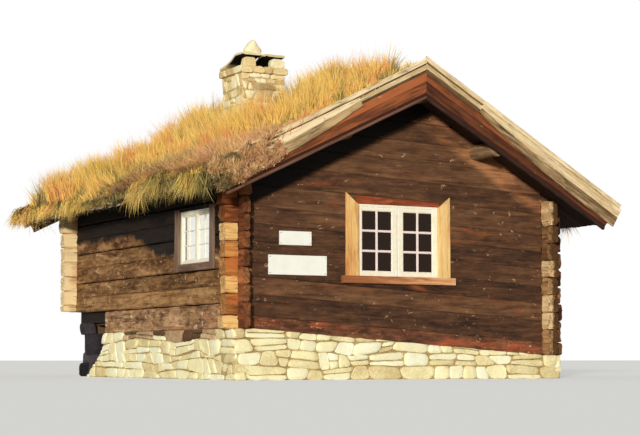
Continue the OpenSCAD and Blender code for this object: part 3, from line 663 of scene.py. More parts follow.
def gable_head(shape, place, side, k, z0, z1, rear):
    """End of a gable's log. The right ones are short and dark in part, and darker towards their ends as
    painted shade. The left front ones are long, and the upper of them darker as painted shade.
    """
    looks, reach, tones, fade = (HEADS, HEAD_ENDS), (1.0, 1.5), (0.1, 0.95), 0.0
    if side > 0:
        # Painted shade: the right heads darken towards their ends.
        looks, reach, tones, fade = (PALE_HEADS, PALE_ENDS), (0.84, 1.12), (0.05, 0.55), -0.9
        if k in (2, 4, 6, 7):
            looks = (RED_HEADS, RED_ENDS)
    elif rear:
        looks, reach, tones, fade = (PALE_HEADS, PALE_ENDS), (1.2, 1.6), (0.5, 1.0), 0.4
    elif k > 5:
        # Painted shade: the upper left front heads darker under the verge.
        tones = (-0.3, 0.2)
    head(shape, place, side, HALF_W, z0, z1, 300 + 10 * k + side, *looks, LOG_T, reach, tones, fade)


MOST_COURSES = 14


def gable(name, place, hole, rear, node):
    """Gable wall with the ends of its logs. The rear one's two lowest logs end short of the open corner."""
    shape = Shape(TAR)
    rng = np.random.default_rng(len(name))
    for k in range(MOST_COURSES):
        seams = [[gable_seam(side, k + i) for side in (-1, 1)] for i in (0, 1)]

        def edge(i, x):
            return np.minimum(np.interp(x, [-IN_W, IN_W], seams[i]), soffit(x) - 0.001)

        x = np.linspace(-HALF_W, HALF_W, 471)
        x = x[edge(0, x) < soffit(x) - 0.02]
        if len(x) < 20:
            break
        short = rear and k < 2
        s0, s1 = (-IN_W, IN_W) if k < LOGS else (x[0], x[-1])
        if short:
            s0 = -HALF_W + GAP_W
        look = TAR_LOW if k == 0 else TAR_TOP if k > 10 else TAR
        course(shape, place, s0, s1, lambda x: edge(0, x), lambda x: edge(1, x), hole, 40 + k, over=RED_LOG,
               cut=0.009, rough=0.005, tone=rng.uniform(0.2, 0.8), look=look)
        if k >= LOGS:
            continue
        for side, z0, z1 in zip((-1, 1), *seams):
            if side < 0 and short:
                foot, z0 = max(z0, GAP_FOOT_Z), max(z0, GAP_Z)
                if z1 > foot + 0.02:
                    timber(shape, place, steps(-HALF_W + GAP_DEPTH, s0, 0.1), foot, z1, GAP_DEPTH, LOG_T,
                           60 + k, look=BLACK_LOG)
                if z1 < z0 + 0.05:
                    continue
                timber(shape, place, steps(-HALF_W, s0, 0.1), z0, z1, 0, GAP_DEPTH, 62 + k, rough=0.01)
            else:
                a, b = sorted((side * IN_W, side * HALF_W))
                timber(shape, place, [a, b], z0 + 0.02, z1 - 0.02, 0, LOG_T, 64 + k)
            gable_head(shape, place, side, k, z0, z1, rear)
    piece(name, shape, "tarred_logs", node)


THIN_HEAD = 0.105


def side_logs(name, side, place, hole, node):
    """Side wall. Its left sill ends short of the open rear corner. Every other seam is tight."""
    shape = Shape(SIDE)
    rng = np.random.default_rng(len(name) + 3)
    for k in range(LOGS):
        z0, z1 = side_seam(side, k), side_seam(side, k + 1)
        sill = side < 0 and k == 0
        tight = k % 2
        low, high = (z0 + 0.007, z1) if tight else (z0, z1 - 0.007)
        course(shape, place, -IN_L, GAP_Y if sill else IN_L, lambda s: low + 0 * s, lambda s: high + 0 * s,
               hole, 80 + k, cut=0.016 if tight else 0.02, rough=0.009, tone=rng.uniform(0.2, 0.8),
               look=SIDE_LOW if k == 0 else SIDE)
        if sill:
            stretch = steps(GAP_Y, IN_L, 0.1)
            timber(shape, place, stretch, GAP_FOOT_Z, z1, GAP_DEPTH, LOG_T, 91, look=BLACK_LOG)
        for end in (-1, 1):
            foot = z0
            if side < 0 and end > 0:
                if k == 0:
                    continue
                foot = max(z0, GAP_Z)
            a, b = sorted((end * IN_L, end * HALF_L))
            timber(shape, place, [a, b], foot + 0.02, z1 - (0 if k == LOGS - 1 else 0.02), 0, LOG_T, 93 + k)
            looks, thick = (PALE_HEADS, PALE_ENDS if side < 0 else HALF_SHADED_ENDS), LOG_T
            if side < 0 and end < 0:
                looks, thick = (RED_HEADS, RED_ENDS), THIN_HEAD
            head(shape, place, end, HALF_L, foot, z1, 500 + 10 * k + 3 * side + end, *looks, thick)
    piece(name, shape, "weathered_logs", node)


gable("front_logs", front, WIN, False, "front_wall")
gable("back_logs", back, DOOR, True, "back_wall")
side_logs("left_logs", -1, left, SIDE_WIN, "left_wall")
side_logs("right_logs", 1, right, None, "right_wall")


# Roof boards
def on_slope(side):
    """Place for a board that runs down the slope, with its face along the house."""
    return lambda s, a, d: slope(side, s, a, d)


def on_verge(side, end):
    """Place for a board that runs down a verge: a is the height above the soffit, d the way in."""
    return lambda s, a, d: slope(side, s, end * (VERGE_Y - d), a)


BOARD_W = 0.165
STACK_HOLE = (0.4, 1.16)
rng = np.random.default_rng(11)
for side, word in SIDES:
    shape = Shape(SHADED_SOFFIT)
    edges = np.linspace(-LAYER_Y, LAYER_Y, round(2 * LAYER_Y / BOARD_W) + 1)
    for i, (y0, y1) in enumerate(zip(edges, edges[1:])):
        runs = [(0.0, EAVE_V[side] + rng.uniform(-0.02, 0.012))]
        if side < 0 and abs((y0 + y1) / 2 - STACK[1]) < STACK[2] + 0.03:
            runs = [(0.0, STACK_HOLE[0]), (STACK_HOLE[1], runs[0][1])]
        for v0, v1 in runs:
            timber(shape, on_slope(side), steps(v0, v1, 0.8), y0 + 0.002, y1 - 0.002, 0, BOARD_T, 120 + i,
                   cut=0.003, gap=0.09, tone=rng.uniform(0.2, 0.9), ends=0.0)
    piece("soffit_boards_" + word, shape, "roof_timber", "roof_boards_" + word)

# Purlins
shape = Shape(PURLIN)
for i, x in enumerate((-PURLIN_X, 0.0, PURLIN_X)):
    z = RIDGE_Z - RIDGE_DROP if x == 0 else soffit(x) - PURLIN_R / COS[-1 if x < 0 else 1] + 0.01
    path = [(x, y, z) for y in steps(-PURLIN_Y, PURLIN_Y, 0.35)]
    rod(shape, path, PURLIN_R - 0.002, 140 + i, 18, 0.006, 5, 0.4 + 0.1 * i)
piece("purlins", shape, "roof_timber", "ridge_purlin", "side_purlins")

# Birch bark: sheets under the turf, with a ragged edge past the roof boards
BARK_T, BARK_STEP, BARK_LAP = 0.0035, 0.004, 0.93
BIRCH = bark()
for side, word in SIDES:
    shape, reach = Shape(BIRCH), EAVE_V[side]
    for layer in range(3):
        y = -LAYER_Y
        while y < LAYER_Y - 0.1:
            width = min(rng.uniform(0.35, 0.7), LAYER_Y - y)
            q = steps(y, y + width, 0.025)
            edge = reach + 0.012 + rng.uniform(-0.02, 0.03) + 0.02 * fbm(xyz(q, 0, 0), 30, layer + 7)
            lift = rng.uniform(-0.25, 0.1) * np.maximum(edge - (reach - 0.02), 0)
            u = BOARD_T + 0.003 + layer * BARK_STEP
            rows = [(reach - 0.5, 0), (reach - 0.02, 0), (edge, lift)]
            under = [slope(side, v + 0 * q, q, u + up) for v, up in rows]
            over = [slope(side, v + 0 * q, q, u + up + BARK_T) for v, up in rows[::-1]]
            loft(shape, np.stack(under + over, 1))
            y += width * BARK_LAP
    piece("birch_bark_" + word, shape, "birch_bark", "bark_" + word, sharp=60)

# Turf: one soft body over both slopes, with its edges swelling over the eave logs
OVER = LOG_U + EAVE_LOG_R + 0.004


def lumps(points):
    """Unevenness of the turf's top."""
    return fbm(points, 2.6, 31, 4) * 0.05


def turf_outline(reach, rise):
    """Section of the turf on one slope, from the ridge over the top to the eave and back below."""
    end = reach - LOG_IN - EAVE_LOG_R - 0.01
    top = [(-rise * (TURF_TOP - 0.02), TURF_TOP - 0.02), (0.32, TURF_TOP), (reach - 0.23, TURF_TOP + 0.015),
           (reach - 0.09, TURF_TOP + 0.012), (reach - 0.02, OVER + 0.014), (reach - 0.03, OVER), (end, OVER),
           (end, BARK_U), (-rise * BARK_U, BARK_U)]
    points = []
    for a, b in zip(top, top[1:]):
        points += between(a, b, max(1, round(math.dist(a, b) / 0.11)))
    return np.array(points).T


shape = Shape(earth())
for side in (1, -1):
    v, u = turf_outline(EAVE_V[side], RISE[side])
    rings = slope(side, v, steps(-LAYER_Y + 0.002, LAYER_Y - 0.002, 0.09)[:, None], u)
    upper = np.clip((u - 0.12) / 0.06, 0, 1)
    rings[..., 2] += (lumps(rings) - 0.01) * upper
    rings[..., 0] += fbm(rings, 3.3, 37, 3) * 0.02 * upper * np.clip(v * 4, 0, 1)
    loft(shape, rings)
# The faces inside the chimney are left out
inside = (np.abs(np.concatenate(shape.verts)[:, :2] - STACK[:2]) < 0.27).all(1)
shape.faces = [(part[~inside[part].all(1)], look) for part, look in shape.faces]
piece("turf_body", shape, "turf", "turf_left", "turf_right", sharp=0)

# Eave logs and their hooks
for side, word in SIDES:
    shape = Shape(PEELED)
    y = steps(-LAYER_Y + 0.01, LAYER_Y - 0.01, 0.16)
    rod(shape, slope(side, EAVE_V[side] - LOG_IN, y, LOG_U), EAVE_LOG_R - 0.003, 150 + side, 14, 0.008, 5)
    piece("turf_log_" + word, shape, "eave_timber", "eave_log_" + word)

HOOKS = 7
HOOK = [(-0.16, 0.016), (-0.09, 0.016), (-0.035, 0.018), (-0.012, 0.034), (-0.004, 0.065), (-0.002, 0.105),
        (-0.006, 0.15)]
HOOK_R = [0.015, 0.016, 0.018, 0.019, 0.018, 0.016, 0.012]
pitch = 2 * LAYER_Y / HOOKS
shape = Shape(PEELED)
for side in (-1, 1):
    for i in range(HOOKS):
        y = -LAYER_Y + (i + 0.5) * pitch
        sway = rng.uniform(-0.02, 0.02, len(HOOK)).cumsum() * 0.5
        path = [slope(side, EAVE_V[side] + v, y + w, BARK_U + u) for (v, u), w in zip(HOOK, sway)]
        rod(shape, path, HOOK_R, 160 + 10 * i + side, 10, 0.003, 30, 0.6)
piece("wooden_hooks", shape, "eave_timber", "log_hooks")

# Verges: bargeboards, grey planks with two laths on them, and a tapered pale plank in front
BARGE_U0, BARGE_U1, BARGE_TAPER, PLANK_U1 = -0.18, 0.12, 0.04, 0.28
EDGE_U, SHADOW_U, SPLIT_U = 0.036, 0.07, 0.02
LATHS = {-1: ((0.155, 0.212), (0.228, 0.286)), 1: ((0.165, 0.222), (0.247, 0.303))}
PALE_TOP = {-1: (1.0, 0.212), 1: (0.85, 0.238)}


def board(shape, at, run, low, high, d0, seed, cut, rough, tone, look=None, d1=VERGE_T, ends=0):
    """Board of the verge at (side, end), between two heights. With no ends, it is mitred at the ridge."""
    shear = None if ends else lambda a: -a * RISE[at[0]]
    timber(shape, on_verge(*at), run, low, high, d0, d1, seed, cut=cut, rough=rough, scale=(2, 9, 9),
           tone=tone, look=look, ends=ends, shear=shear)


for end, word in ((-1, "front"), (1, "back")):
    barge, pale = Shape(BARGE), Shape(PLANK)
    for side in (-1, 1):
        at, tip, seed = (side, end), EAVE_V[side], 170 + side + end
        run = steps(0, tip - 0.06, 0.12)
        low = np.interp(run, [0, tip - 0.06], [BARGE_U0, BARGE_U0 + BARGE_TAPER])
        board(barge, at, run, low, low + EDGE_U, -0.003, seed + 40, 0.01, 0.005, 0.5 - 0.2 * side, BARGE_EDGE)
        board(barge, at, run, low + EDGE_U, low + SHADOW_U, 0.009, seed + 60, 0.003, 0.003, -0.1)
        board(barge, at, run, low + SHADOW_U, SPLIT_U, 0.003, seed, 0.004, 0.004, 0.46 - 0.14 * side)
        board(barge, at, run, SPLIT_U, BARGE_U1, 0.0, seed + 20, 0.005, 0.004, 0.84 - 0.27 * side)
        run = steps(0, tip + 0.02, 0.12)
        board(pale, at, run, BARGE_U1, PLANK_U1, 0.014, seed + 5, 0.003, 0.004, 0.35, GREY_PLANK)
        for i, (u0, u1) in enumerate(LATHS[side]):
            wave = 0.006 * fbm(xyz(run * 1.7, 0, 0), 1, seed + i)
            board(pale, at, run, u0 + wave, u1 + wave, -0.006 * (i + 1), seed + 10 + 7 * i, 0.006, 0.005,
                  0.6 + 0.15 * i, d1=0.018)
        start, upper = PALE_TOP[side]
        run = steps(start, tip + 0.04, 0.1)
        low = np.interp(run, [0.85, 1.5, 2.1, tip + 0.04], [0.125, 0.035, -0.01, -0.03])
        split = np.interp(run, [0.85, 1.25, 2.0, tip + 0.04], [0.185, 0.15, 0.118, 0.112])
        board(pale, at, run, low, split - 0.001, -0.02, seed + 15, 0.004, 0.006, 0.36 - 0.1 * side,
              d1=0.004, ends=0.004)
        board(pale, at, run, split + 0.001, upper, -0.024, seed + 18, 0.005, 0.006, 0.78 - 0.1 * side,
              d1=0.004, ends=0.006)
    piece("barge_" + word, barge, "bargeboard", "bargeboards_" + word)
    piece("pale_verge_" + word, pale, "verge_plank", "verge_planks_" + word)


# Grass and heather. The functions below take v, y and side of each tuft.
MOST_BUSHES, TALLEST, PAST_VERGE, BLADE_POINTS = 2000, 0.56, 0.024, 5


def in_bushes(rng, v, across, bushes, varied):
    """Bush that each tuft belongs to, the way there from its middle, and its share of height and tone."""
    middle = np.stack([rng.uniform(q.min(), q.max(), MOST_BUSHES) for q in (v, across)], -1)
    middle = middle[: max(4, int(bushes * np.ptp(v) * np.ptp(across)))]
    away = np.stack([v, across], -1)[:, None] - middle[None]
    near = np.linalg.norm(away, axis=2).argmin(1)
    away = away[np.arange(len(v)), near]
    far = np.linalg.norm(away, axis=1) * math.sqrt(bushes) / 0.6
    tone = rng.normal(0, varied, len(middle))[near] - 0.45 * np.clip(far - 0.62, 0, 1)
    return near, away, np.clip(1.22 - 0.62 * far ** 2, 0.42, 1.3), tone


def beside_stack(side, v, y):
    """Whether a tuft stands clear of the chimney."""
    clear = np.abs(v * COS[-1] + STACK[0] + 0.08) > STACK[2] + 0.01
    return (side > 0) | clear | (np.abs(y - STACK[1]) > STACK[2])


def blade_mesh(base, mid, tip, w, pick, shade, look):
    """Shape of blades bent at mid, w half as wide as they are."""
    n = len(base)
    verts = np.stack([base - w, base + w, mid + w * 0.85, mid - w * 0.85, tip], 1).reshape(-1, 3)
    verts[:, 0] = np.clip(verts[:, 0], *GRASS_X)
    verts[:, 1] = np.clip(verts[:, 1], -GRASS_Y, GRASS_Y)
    at = np.arange(n)[:, None] * BLADE_POINTS
    shape = Shape(look)
    pick, shade = (np.repeat(part, BLADE_POINTS) for part in (pick, shade))
    shape.add(verts, [at + np.arange(4), at + np.array([3, 2, 4])],
              xyz(pick, np.tile([0, 0, 0.55, 0.55, 1.0], n), 0), shade)
    return shape


def sward(name, look, tufts, spot, height, lean, seed, tone, per=12, width=0.011, spread=0.02, fan=0.13,
          first_part=0.5, loose=0.14, bushes=15.0, varied=0.22):
    """Tufts of blades that stand in bushes, so many on a square metre, which lean apart and differ in tone.
    spot(rng, n) gives side, v, y and u of each tuft. height and tone say how high and how light it is, and
    lean which way the lower and the upper part of its blades go."""
    rng = np.random.default_rng(seed)
    side, v, y, u = spot(rng, int(tufts * GRASS_SHARE))
    flat = np.ptp(y) > 0.1
    near, away, bush, bush_tone = in_bushes(rng, v, y if flat else u, bushes, varied)
    kept = np.argsort(near, kind="stable")
    kept = kept[beside_stack(side, v, y)[kept]]
    side, v, y, u, away, bush, bush_tone = (q[kept] for q in (side, v, y, u, away, bush, bush_tone))
    m = len(v)
    tall_t = np.minimum(height(v, y, side) * rng.uniform(0.7, 1.15, m) * bush, TALLEST)
    tone_t = tone(v, y, side) + rng.normal(0, 0.1, m) + bush_tone
    clump = rng.normal(0, loose, (m, 2)) + away * math.sqrt(bushes) * 0.42
    of_tuft = side, tall_t, tone_t, clump, *lean(v, y, side), slope(side, v, y, u)
    side, tall_t, tone_t, clump, first, second, root = (np.repeat(q, per, 0) for q in of_tuft)
    n = len(side)
    off = rng.normal(0, 1, (n, 2))
    base = root + xyz(off[:, 0], off[:, 1], -RISE[-1] * off[:, 0] * side * 0.9) * spread
    base[:, 1] = np.clip(base[:, 1], -VERGE_Y - PAST_VERGE, VERGE_Y + PAST_VERGE)
    base[:, 2] += lumps(base) - 0.03
    h = tall_t * rng.uniform(0.6, 1.08, n)
    a, b = (off * fan + clump + rng.normal(0, 0.09, (n, 2))).T
    axes = [0, 1, 2] if flat else [0, 2, 1]
    first = unit(first + xyz(a * 0.5, b * 0.5, 0)[:, axes])
    second = unit(second + xyz(a * 1.3, b * 1.3, rng.normal(0, 0.12, n))[:, axes])
    mid = base + first * (h * first_part)[:, None]
    tip = mid + second * (h * (1.05 - first_part))[:, None]
    turn = rng.uniform(0, math.pi, n)
    w = xyz(np.cos(turn), np.sin(turn), 0) * (width * rng.uniform(0.55, 1.3, n) / 2)[:, None]
    pick = rng.uniform(0, 1, n)
    shade = np.clip(tone_t + rng.normal(0, 0.06, n), 0.02, 0.98)
    piece(name, blade_mesh(base, mid, tip, w, pick, shade, look), "turf", sharp=0)


def even(side, v0, v1, y0, y1):
    """Tufts spread evenly over a stretch of one slope, their feet on the turf."""
    def spot(rng, n):
        v, y = rng.uniform(v0, v1, n), rng.uniform(y0, y1, n)
        return np.full(n, side), v, y, np.minimum(TURF_TOP, OVER + 0.01 + (EAVE_V[side] - v) * 0.3)
    return spot


def along(side, end, v0, v1, u0=0.18, u1=0.26, out=0.03):
    """Tufts on the planks of a verge."""
    def spot(rng, n):
        v = v0 + (v1 - v0) * rng.uniform(0, 1, n) ** 0.7
        return np.full(n, side), v, np.full(n, end * (VERGE_Y - out)), rng.uniform(u0, u1, n)
    return spot


def patch(v, y, seed, scale=0.9):
    return fbm(xyz(v, y, 0), scale, seed, 3)


def rising(x, start, length):
    """0 up to start, and then up to 1 over a length."""
    return np.clip((x - start) / length, 0, 1)


def falling(x, end, length):
    """1 at first, and then down to 0 at end over a length."""
    return np.clip((end - x) / length, 0, 1)


def heath(v, y, side):
    """1 in the bare, heathery stretch near the front left eave, 0 elsewhere."""
    return np.where(side < 0, rising(v - 0.15 * (y + 3), 1.6, 0.45) * falling(y, 0.7, 1.0), 0.0)


def tall(v, y, side):
    """Height of the grass, which is short at the front verge, near the chimney and on the heath."""
    on_left = np.interp(y, [-3.46, -3.0, -2.4, -1.3, -0.5, 0.5, 3.46],
                        [0.17, 0.27, 0.45, 0.5, 0.43, 0.42, 0.46])
    on_right = np.interp(y, [-3.46, -2.9, -2.3, -1.3, -0.5, 3.46], [0.06, 0.11, 0.34, 0.48, 0.42, 0.44])
    h = np.where(side < 0, on_left, on_right) * (1 + 0.3 * patch(v, y, 3))
    h *= 1 - 0.45 * np.exp(-((v * side + 0.78) / 0.55) ** 2 - ((y + 0.65) / 0.5) ** 2)
    h *= 1 + 0.4 * rising(v, 2.2, 0.6) * np.where(side < 0, rising(y, 0.6, 0.8), 0)
    down = np.interp(v, [0, 0.5, 2.2, 2.7, 3.1], [1.0, 1.05, 0.9, 1.0, 0.8])
    return h * (1 - 0.72 * heath(v, y, side)) * down


def dry(v, y, side):
    """Tone of the grass, with greener and darker stretches on the front of the left slope."""
    green = rising(v, 2.3, 0.6) * falling(y, 1.6, 1.2)
    hollow = np.clip(patch(v, y, 51, 2.2) - 0.04, 0, 1) * falling(y, 1.4, 1.2) * np.clip(v, 0.3, 1)
    return 0.6 + 0.26 * patch(v, y, 5, 1.1) - np.where(side < 0, 0.17 * green + 0.8 * hollow, 0.05)


def mossy(v, y, side):
    """Browner and greener than dry, along the front half of the left eave."""
    green = (0.12 + 0.4 * patch(v, y, 41, 3.0)) * falling(y, 0.8, 0.8)
    return dry(v, y, side) - np.where(side < 0, green, 0)


def hanging_height(v, y, side):
    """Height of the grass at the eaves, which is short at the front of the right one."""
    h = np.interp(y, [-3.4, -2.4, -1.6, 0.0, 1.0, 2.7, 3.2], [0.44, 0.52, 0.5, 0.36, 0.34, 0.32, 0.4])
    part = np.where(side < 0, 1, np.interp(y, [-2.6, -1.8], [0.4, 0.9]))
    return h * (1 + 0.2 * patch(v, y, 21, 1.7)) * part


def upright(v, y, side):
    """Nearly straight up, and bent outwards near the eave, less so on the left towards the back."""
    wind = patch(v, y, 9)
    bent = rising(v, 2.35, 0.7) * np.where(side < 0, np.interp(y, [-0.3, 1.2], [1.0, 0.15]), 1.0)
    side = side * np.clip(v / 0.5, 0, 1)
    return (xyz(side * (0.07 + 0.5 * bent), 0.1 * wind - 0.03, 1 - 0.2 * bent),
            xyz(side * (0.2 + 0.9 * bent), 0.3 * wind - 0.1, 0.75 - 0.9 * bent ** 2))


def hanging(v, y, side):
    """Out over the eave and down."""
    wind, stiff = patch(v, y, 9), patch(v, y, 31, 7.0)
    out = np.where(side < 0, np.interp(y, [0.0, 1.5, 2.4, 2.9], [0.9, 0.45, 0.45, 0.15]), 0.9)
    return (xyz(side * out, 0.1 * wind, 0.15 + 0.8 * stiff),
            xyz(side * (out * 0.33 + 0.5 * stiff), 0.2 * wind, -1 + 0.3 * stiff))


def tufty(v, y, side):
    """Out of the front verge and up, in short clumps."""
    wind = patch(v, y, 19, 4.0)
    return xyz(side * 0.1 + wind, -0.8, 0.3), xyz(side * 0.25 + wind, -0.45, 0.7)


def backward(v, y, side):
    """Over the back verge and down."""
    wind = patch(v, y, 19)
    return xyz(side * 0.2 + 0.2 * wind, 0.75, 0.3), xyz(side * 0.15 + 0.3 * wind, 0.2, -1)


for side, word, counts in ((-1, "left", (3000, 2500)), (1, "right", (2100, 2000))):
    for i, (y0, y1, part) in enumerate(((-LAYER_Y, 0.0, "_front"), (0.0, LAYER_Y, "_back"))):
        where = even(side, -TURF_TOP * RISE[side], EAVE_V[side] - 0.05, y0, y1)
        sward("grass_" + word + part, GRASS, counts[i], where, tall, upright, i + side + 6, dry,
              width=0.011 if side < 0 else 0.0125)
sward("heather_left", HEATHER, 1050, even(-1, 1.5, 3.17, -LAYER_Y, 0.7), lambda *at: 0.07 + 0.17 * heath(*at),
      upright, 5, lambda v, y, side: 0.55 + 0.5 * patch(v, y, 15), per=24, width=0.0125, spread=0.05,
      fan=0.5, bushes=22)
for side, word, count in ((-1, "left", 2100), (1, "right", 1500)):
    where = even(side, 2.62, EAVE_V[side] - 0.03, -LAYER_Y, LAYER_Y)
    sward("grass_eave_" + word, GRASS, count, where, hanging_height, hanging, 16 + side, mossy,
          first_part=0.3, loose=0.12, bushes=24, varied=0.2)
sward("heather_verge", PALE_HEATHER, 820, along(-1, -1, 2.2, EAVE_V[-1] + 0.02, -0.03, 0.31, -0.012),
      lambda v, y, side: np.interp(v, [2.2, 2.6, 3.2], [0.07, 0.1, 0.11]), tufty, 25,
      lambda v, y, side: 0.7 + 0.4 * patch(v * 4, y, 15), per=22, width=0.013, spread=0.014, fan=0.4,
      first_part=0.4, loose=0.25, bushes=150, varied=0.3)
sward("grass_verge_back", GRASS, 420, along(-1, 1, 1.2, EAVE_V[-1]),
      lambda v, y, side: np.interp(v, [1.2, 2.2, 3.2], [0.14, 0.26, 0.36]), backward, 27, dry,
      first_part=0.33)


# Dry stone
STONE_POINTS, WORN_SHARE, LEAST_AREA = 20, 0.14, 0.0016


def clip(poly, normal, limit):
    """Part of a convex polygon where the product with normal is at most limit."""
    out = []
    for a, b in zip(poly, poly[1:] + poly[:1]):
        da, db = a @ normal - limit, b @ normal - limit
        if da <= 0:
            out.append(a)
        if da * db < 0:
            out.append(a + (b - a) * (da / (da - db)))
    return out


def spaced(outline, count, start=0.0):
    """Outline as count points, evenly spaced along it."""
    loop = np.array(outline + outline[:1], float)
    run = run_of(loop)
    at = (np.arange(count) + start) / count * run[-1]
    return np.stack([np.interp(at, run, part) for part in loop.T], -1)


def stone(shape, place, poly, rng, thick, bulge, look):
    """One stone with a flat, worn face. poly is its outline in the plane of the wall."""
    sides = zip(poly, poly[1:] + poly[:1])
    far = 1 - WORN_SHARE
    poly = [p for a, b in sides for p in (a * far + b * WORN_SHARE, a * WORN_SHARE + b * far)]
    edge = spaced(poly, STONE_POINTS)
    centre = edge.mean(0)
    tilt = rng.uniform(-0.07, 0.07, 2)
    high = bulge * rng.uniform(-0.3, 1.2)
    rings = []
    for scale, depth in ((0.8, thick), (0.97, thick * 0.5), (1.0, 0.02), (0.99, 0.005), (0.955, -0.001),
                         (0.8, -0.7 * high), (0.45, -high)):
        p = centre + (edge - centre) * scale
        rings.append(xyz(p[:, 0], p[:, 1], depth + (p - centre) @ tilt * (1 if depth < 0.03 else 0)))
    rings = np.array(rings)
    seed = int(rng.integers(1, 900))
    for axis in range(3):
        rings[..., axis] += fbm(rings, 9, seed + axis, 3) * 0.009
    out = place(*np.moveaxis(rings, -1, 0))
    out[..., 2] = np.maximum(out[..., 2], 0)
    loft(shape, out, tone=rng.uniform(0, 1), look=look)


def cells(low, high, size, rng, seed):
    """Cells of uneven courses over a rectangle, each a convex outline. Some are split in two."""
    beds = [low[1] - 0.02]
    while beds[-1] < high[1] - size[1] * 0.5:
        beds.append(beds[-1] + size[1] * rng.uniform(0.6, 1.4))
    beds[-1] = max(beds[-1], high[1] + 0.02)

    def bed(k, a):
        """Point of bed k at a. The lowest bed and the top one are straight."""
        free = 0 if k in (0, len(beds) - 1) else size[1] * 0.62
        return np.array([a, beds[k] + free * float(fbm(np.array([[a * 2.1, k * 3.1, 0.0]]), 1, seed, 3)[0])])

    for k in range(len(beds) - 1):
        a = low[0] - size[0] * rng.uniform(0.3, 0.9)
        tilt = rng.uniform(-0.35, 0.35) * size[1]
        while a < high[0] + 0.1:
            b = a + size[0] * rng.choice([0.4, 0.65, 0.9, 1.3]) * rng.uniform(0.8, 1.2)
            turn = rng.uniform(-0.35, 0.35) * size[1]
            p0, p1, p2, p3 = bed(k, a + tilt), bed(k, b + turn), bed(k + 1, b - turn), bed(k + 1, a - tilt)
            split = [[p0, p1, p2, p3]]
            if beds[k + 1] - beds[k] > size[1] * 0.95 and rng.uniform() < 0.45:
                share, other = rng.uniform(0.3, 0.7, 2)
                m0, m1 = p0 + (p3 - p0) * share, p1 + (p2 - p1) * (0.5 * share + 0.5 * other)
                split = [[p0, p1, m1, m0], [m0, m1, p2, p3]]
            elif rng.uniform() < 0.3 and b - a > size[0] * 0.8:
                m0, m1 = p0 + (p1 - p0) * rng.uniform(0.35, 0.65), p3 + (p2 - p3) * rng.uniform(0.3, 0.7)
                split = [[p0, m0, m1, p3], [m0, p1, p2, m1]]
            a, tilt = b, turn
            yield from split


def rubble(shape, place, region, seed, size=(0.4, 0.15), gap=0.009, thick=0.13, bulge=0.014, pick=None):
    """Laid rubble in uneven courses over a region of a wall. pick(a, b, rng) may give a stone other looks."""
    rng = np.random.default_rng(seed)
    region = [np.array(p, float) for p in region]
    for cell in cells(np.min(region, 0), np.max(region, 0), size, rng, seed):
        poly = region
        for q0, q1 in zip(cell, cell[1:] + cell[:1]):
            normal = unit(np.array([q1[1] - q0[1], q0[0] - q1[0]]))
            poly = clip(poly, normal, normal @ q0 - gap / 2)
            if len(poly) < 3:
                break
        else:
            area = 0.5 * abs(sum(c[0] * d[1] - d[0] * c[1] for c, d in zip(poly, poly[1:] + poly[:1])))
            if area > LEAST_AREA:
                look = pick(*np.mean(poly, 0), rng) if pick else None
                stone(shape, place, poly, rng, thick, bulge, look)


def prism(shape, place, region, d0, d1, look):
    """Plain convex block behind a face of stones."""
    a, b = np.array(region, float).T
    loft(shape, np.stack([place(a, b, d) for d in (d0, d1)]), tone=0.3, look=look)


def oblong(a0, a1, b0, b1):
    return [(a0, b0), (a1, b0), (a1, b1), (a0, b1)]


# Foundation walls, with a plain core behind their stones
INSET = 0.024


def foundation(word, place, profile, seed, cores=None, **stones):
    """Foundation wall: stones in front of cores, which are outlines and the depths of their faces."""
    shape = Shape(RUBBLE)
    rubble(shape, place, profile, seed, **stones)
    for outline, depth in cores or [(profile, INSET)]:
        prism(shape, place, outline, depth, FOUND_T, CORE)
    piece(f"foundation_{word}_stones", shape, "rubble", "foundation_" + word, sharp=50)


foundation("front", face("y", -OUT_L, -1), [(-OUT_W, 0), (OUT_W, 0), (OUT_W, SILL_RIGHT), (IN_W, SILL_RIGHT),
                                            (-IN_W, SILL_LEFT), (-OUT_W, SILL_LEFT)], 21)

# The left wall ends in a slope where the rear corner is open, and has brown stones near its top
OPEN_Y = HALF_L - 1.47
rear_end = [(HALF_L - 0.8, 0), (OPEN_Y + 0.09, 0.3465), (OPEN_Y, SILL_LEFT)]
core = [(-OUT_L + FOUND_T, 0), *rear_end, (-OUT_L + FOUND_T, SILL_LEFT)]


def brown_stones(a, b, rng):
    """Brown for most of the stones at the top of the front half."""
    high = b > SILL_LEFT - 0.12 and a < 0.7
    return SHADY_RUBBLE if high and rng.uniform() < 0.8 else None


foundation("left", face("x", -OUT_W, -1), [(-OUT_L, 0), *rear_end, (-OUT_L, SILL_LEFT)], 22,
           [(core, INSET)], thick=0.22, pick=brown_stones)

inner = OUT_L - FOUND_T
foundation("right", face("x", OUT_W, 1), oblong(-OUT_L, OUT_L, 0, SILL_RIGHT), 23,
           [(oblong(-inner, inner, 0, SILL_RIGHT), INSET), (oblong(-inner, inner, 0.2, SILL_LEFT), 0.255)])

x0 = -HALF_W + GAP_W + 0.15
z0 = SILL_LEFT + (SILL_RIGHT - SILL_LEFT) * (x0 + IN_W) / (2 * IN_W)
foundation("back", face("y", OUT_L, 1),
           [(x0, 0), (OUT_W, 0), (OUT_W, SILL_RIGHT), (IN_W, SILL_RIGHT), (x0, z0)], 24, thick=0.2)

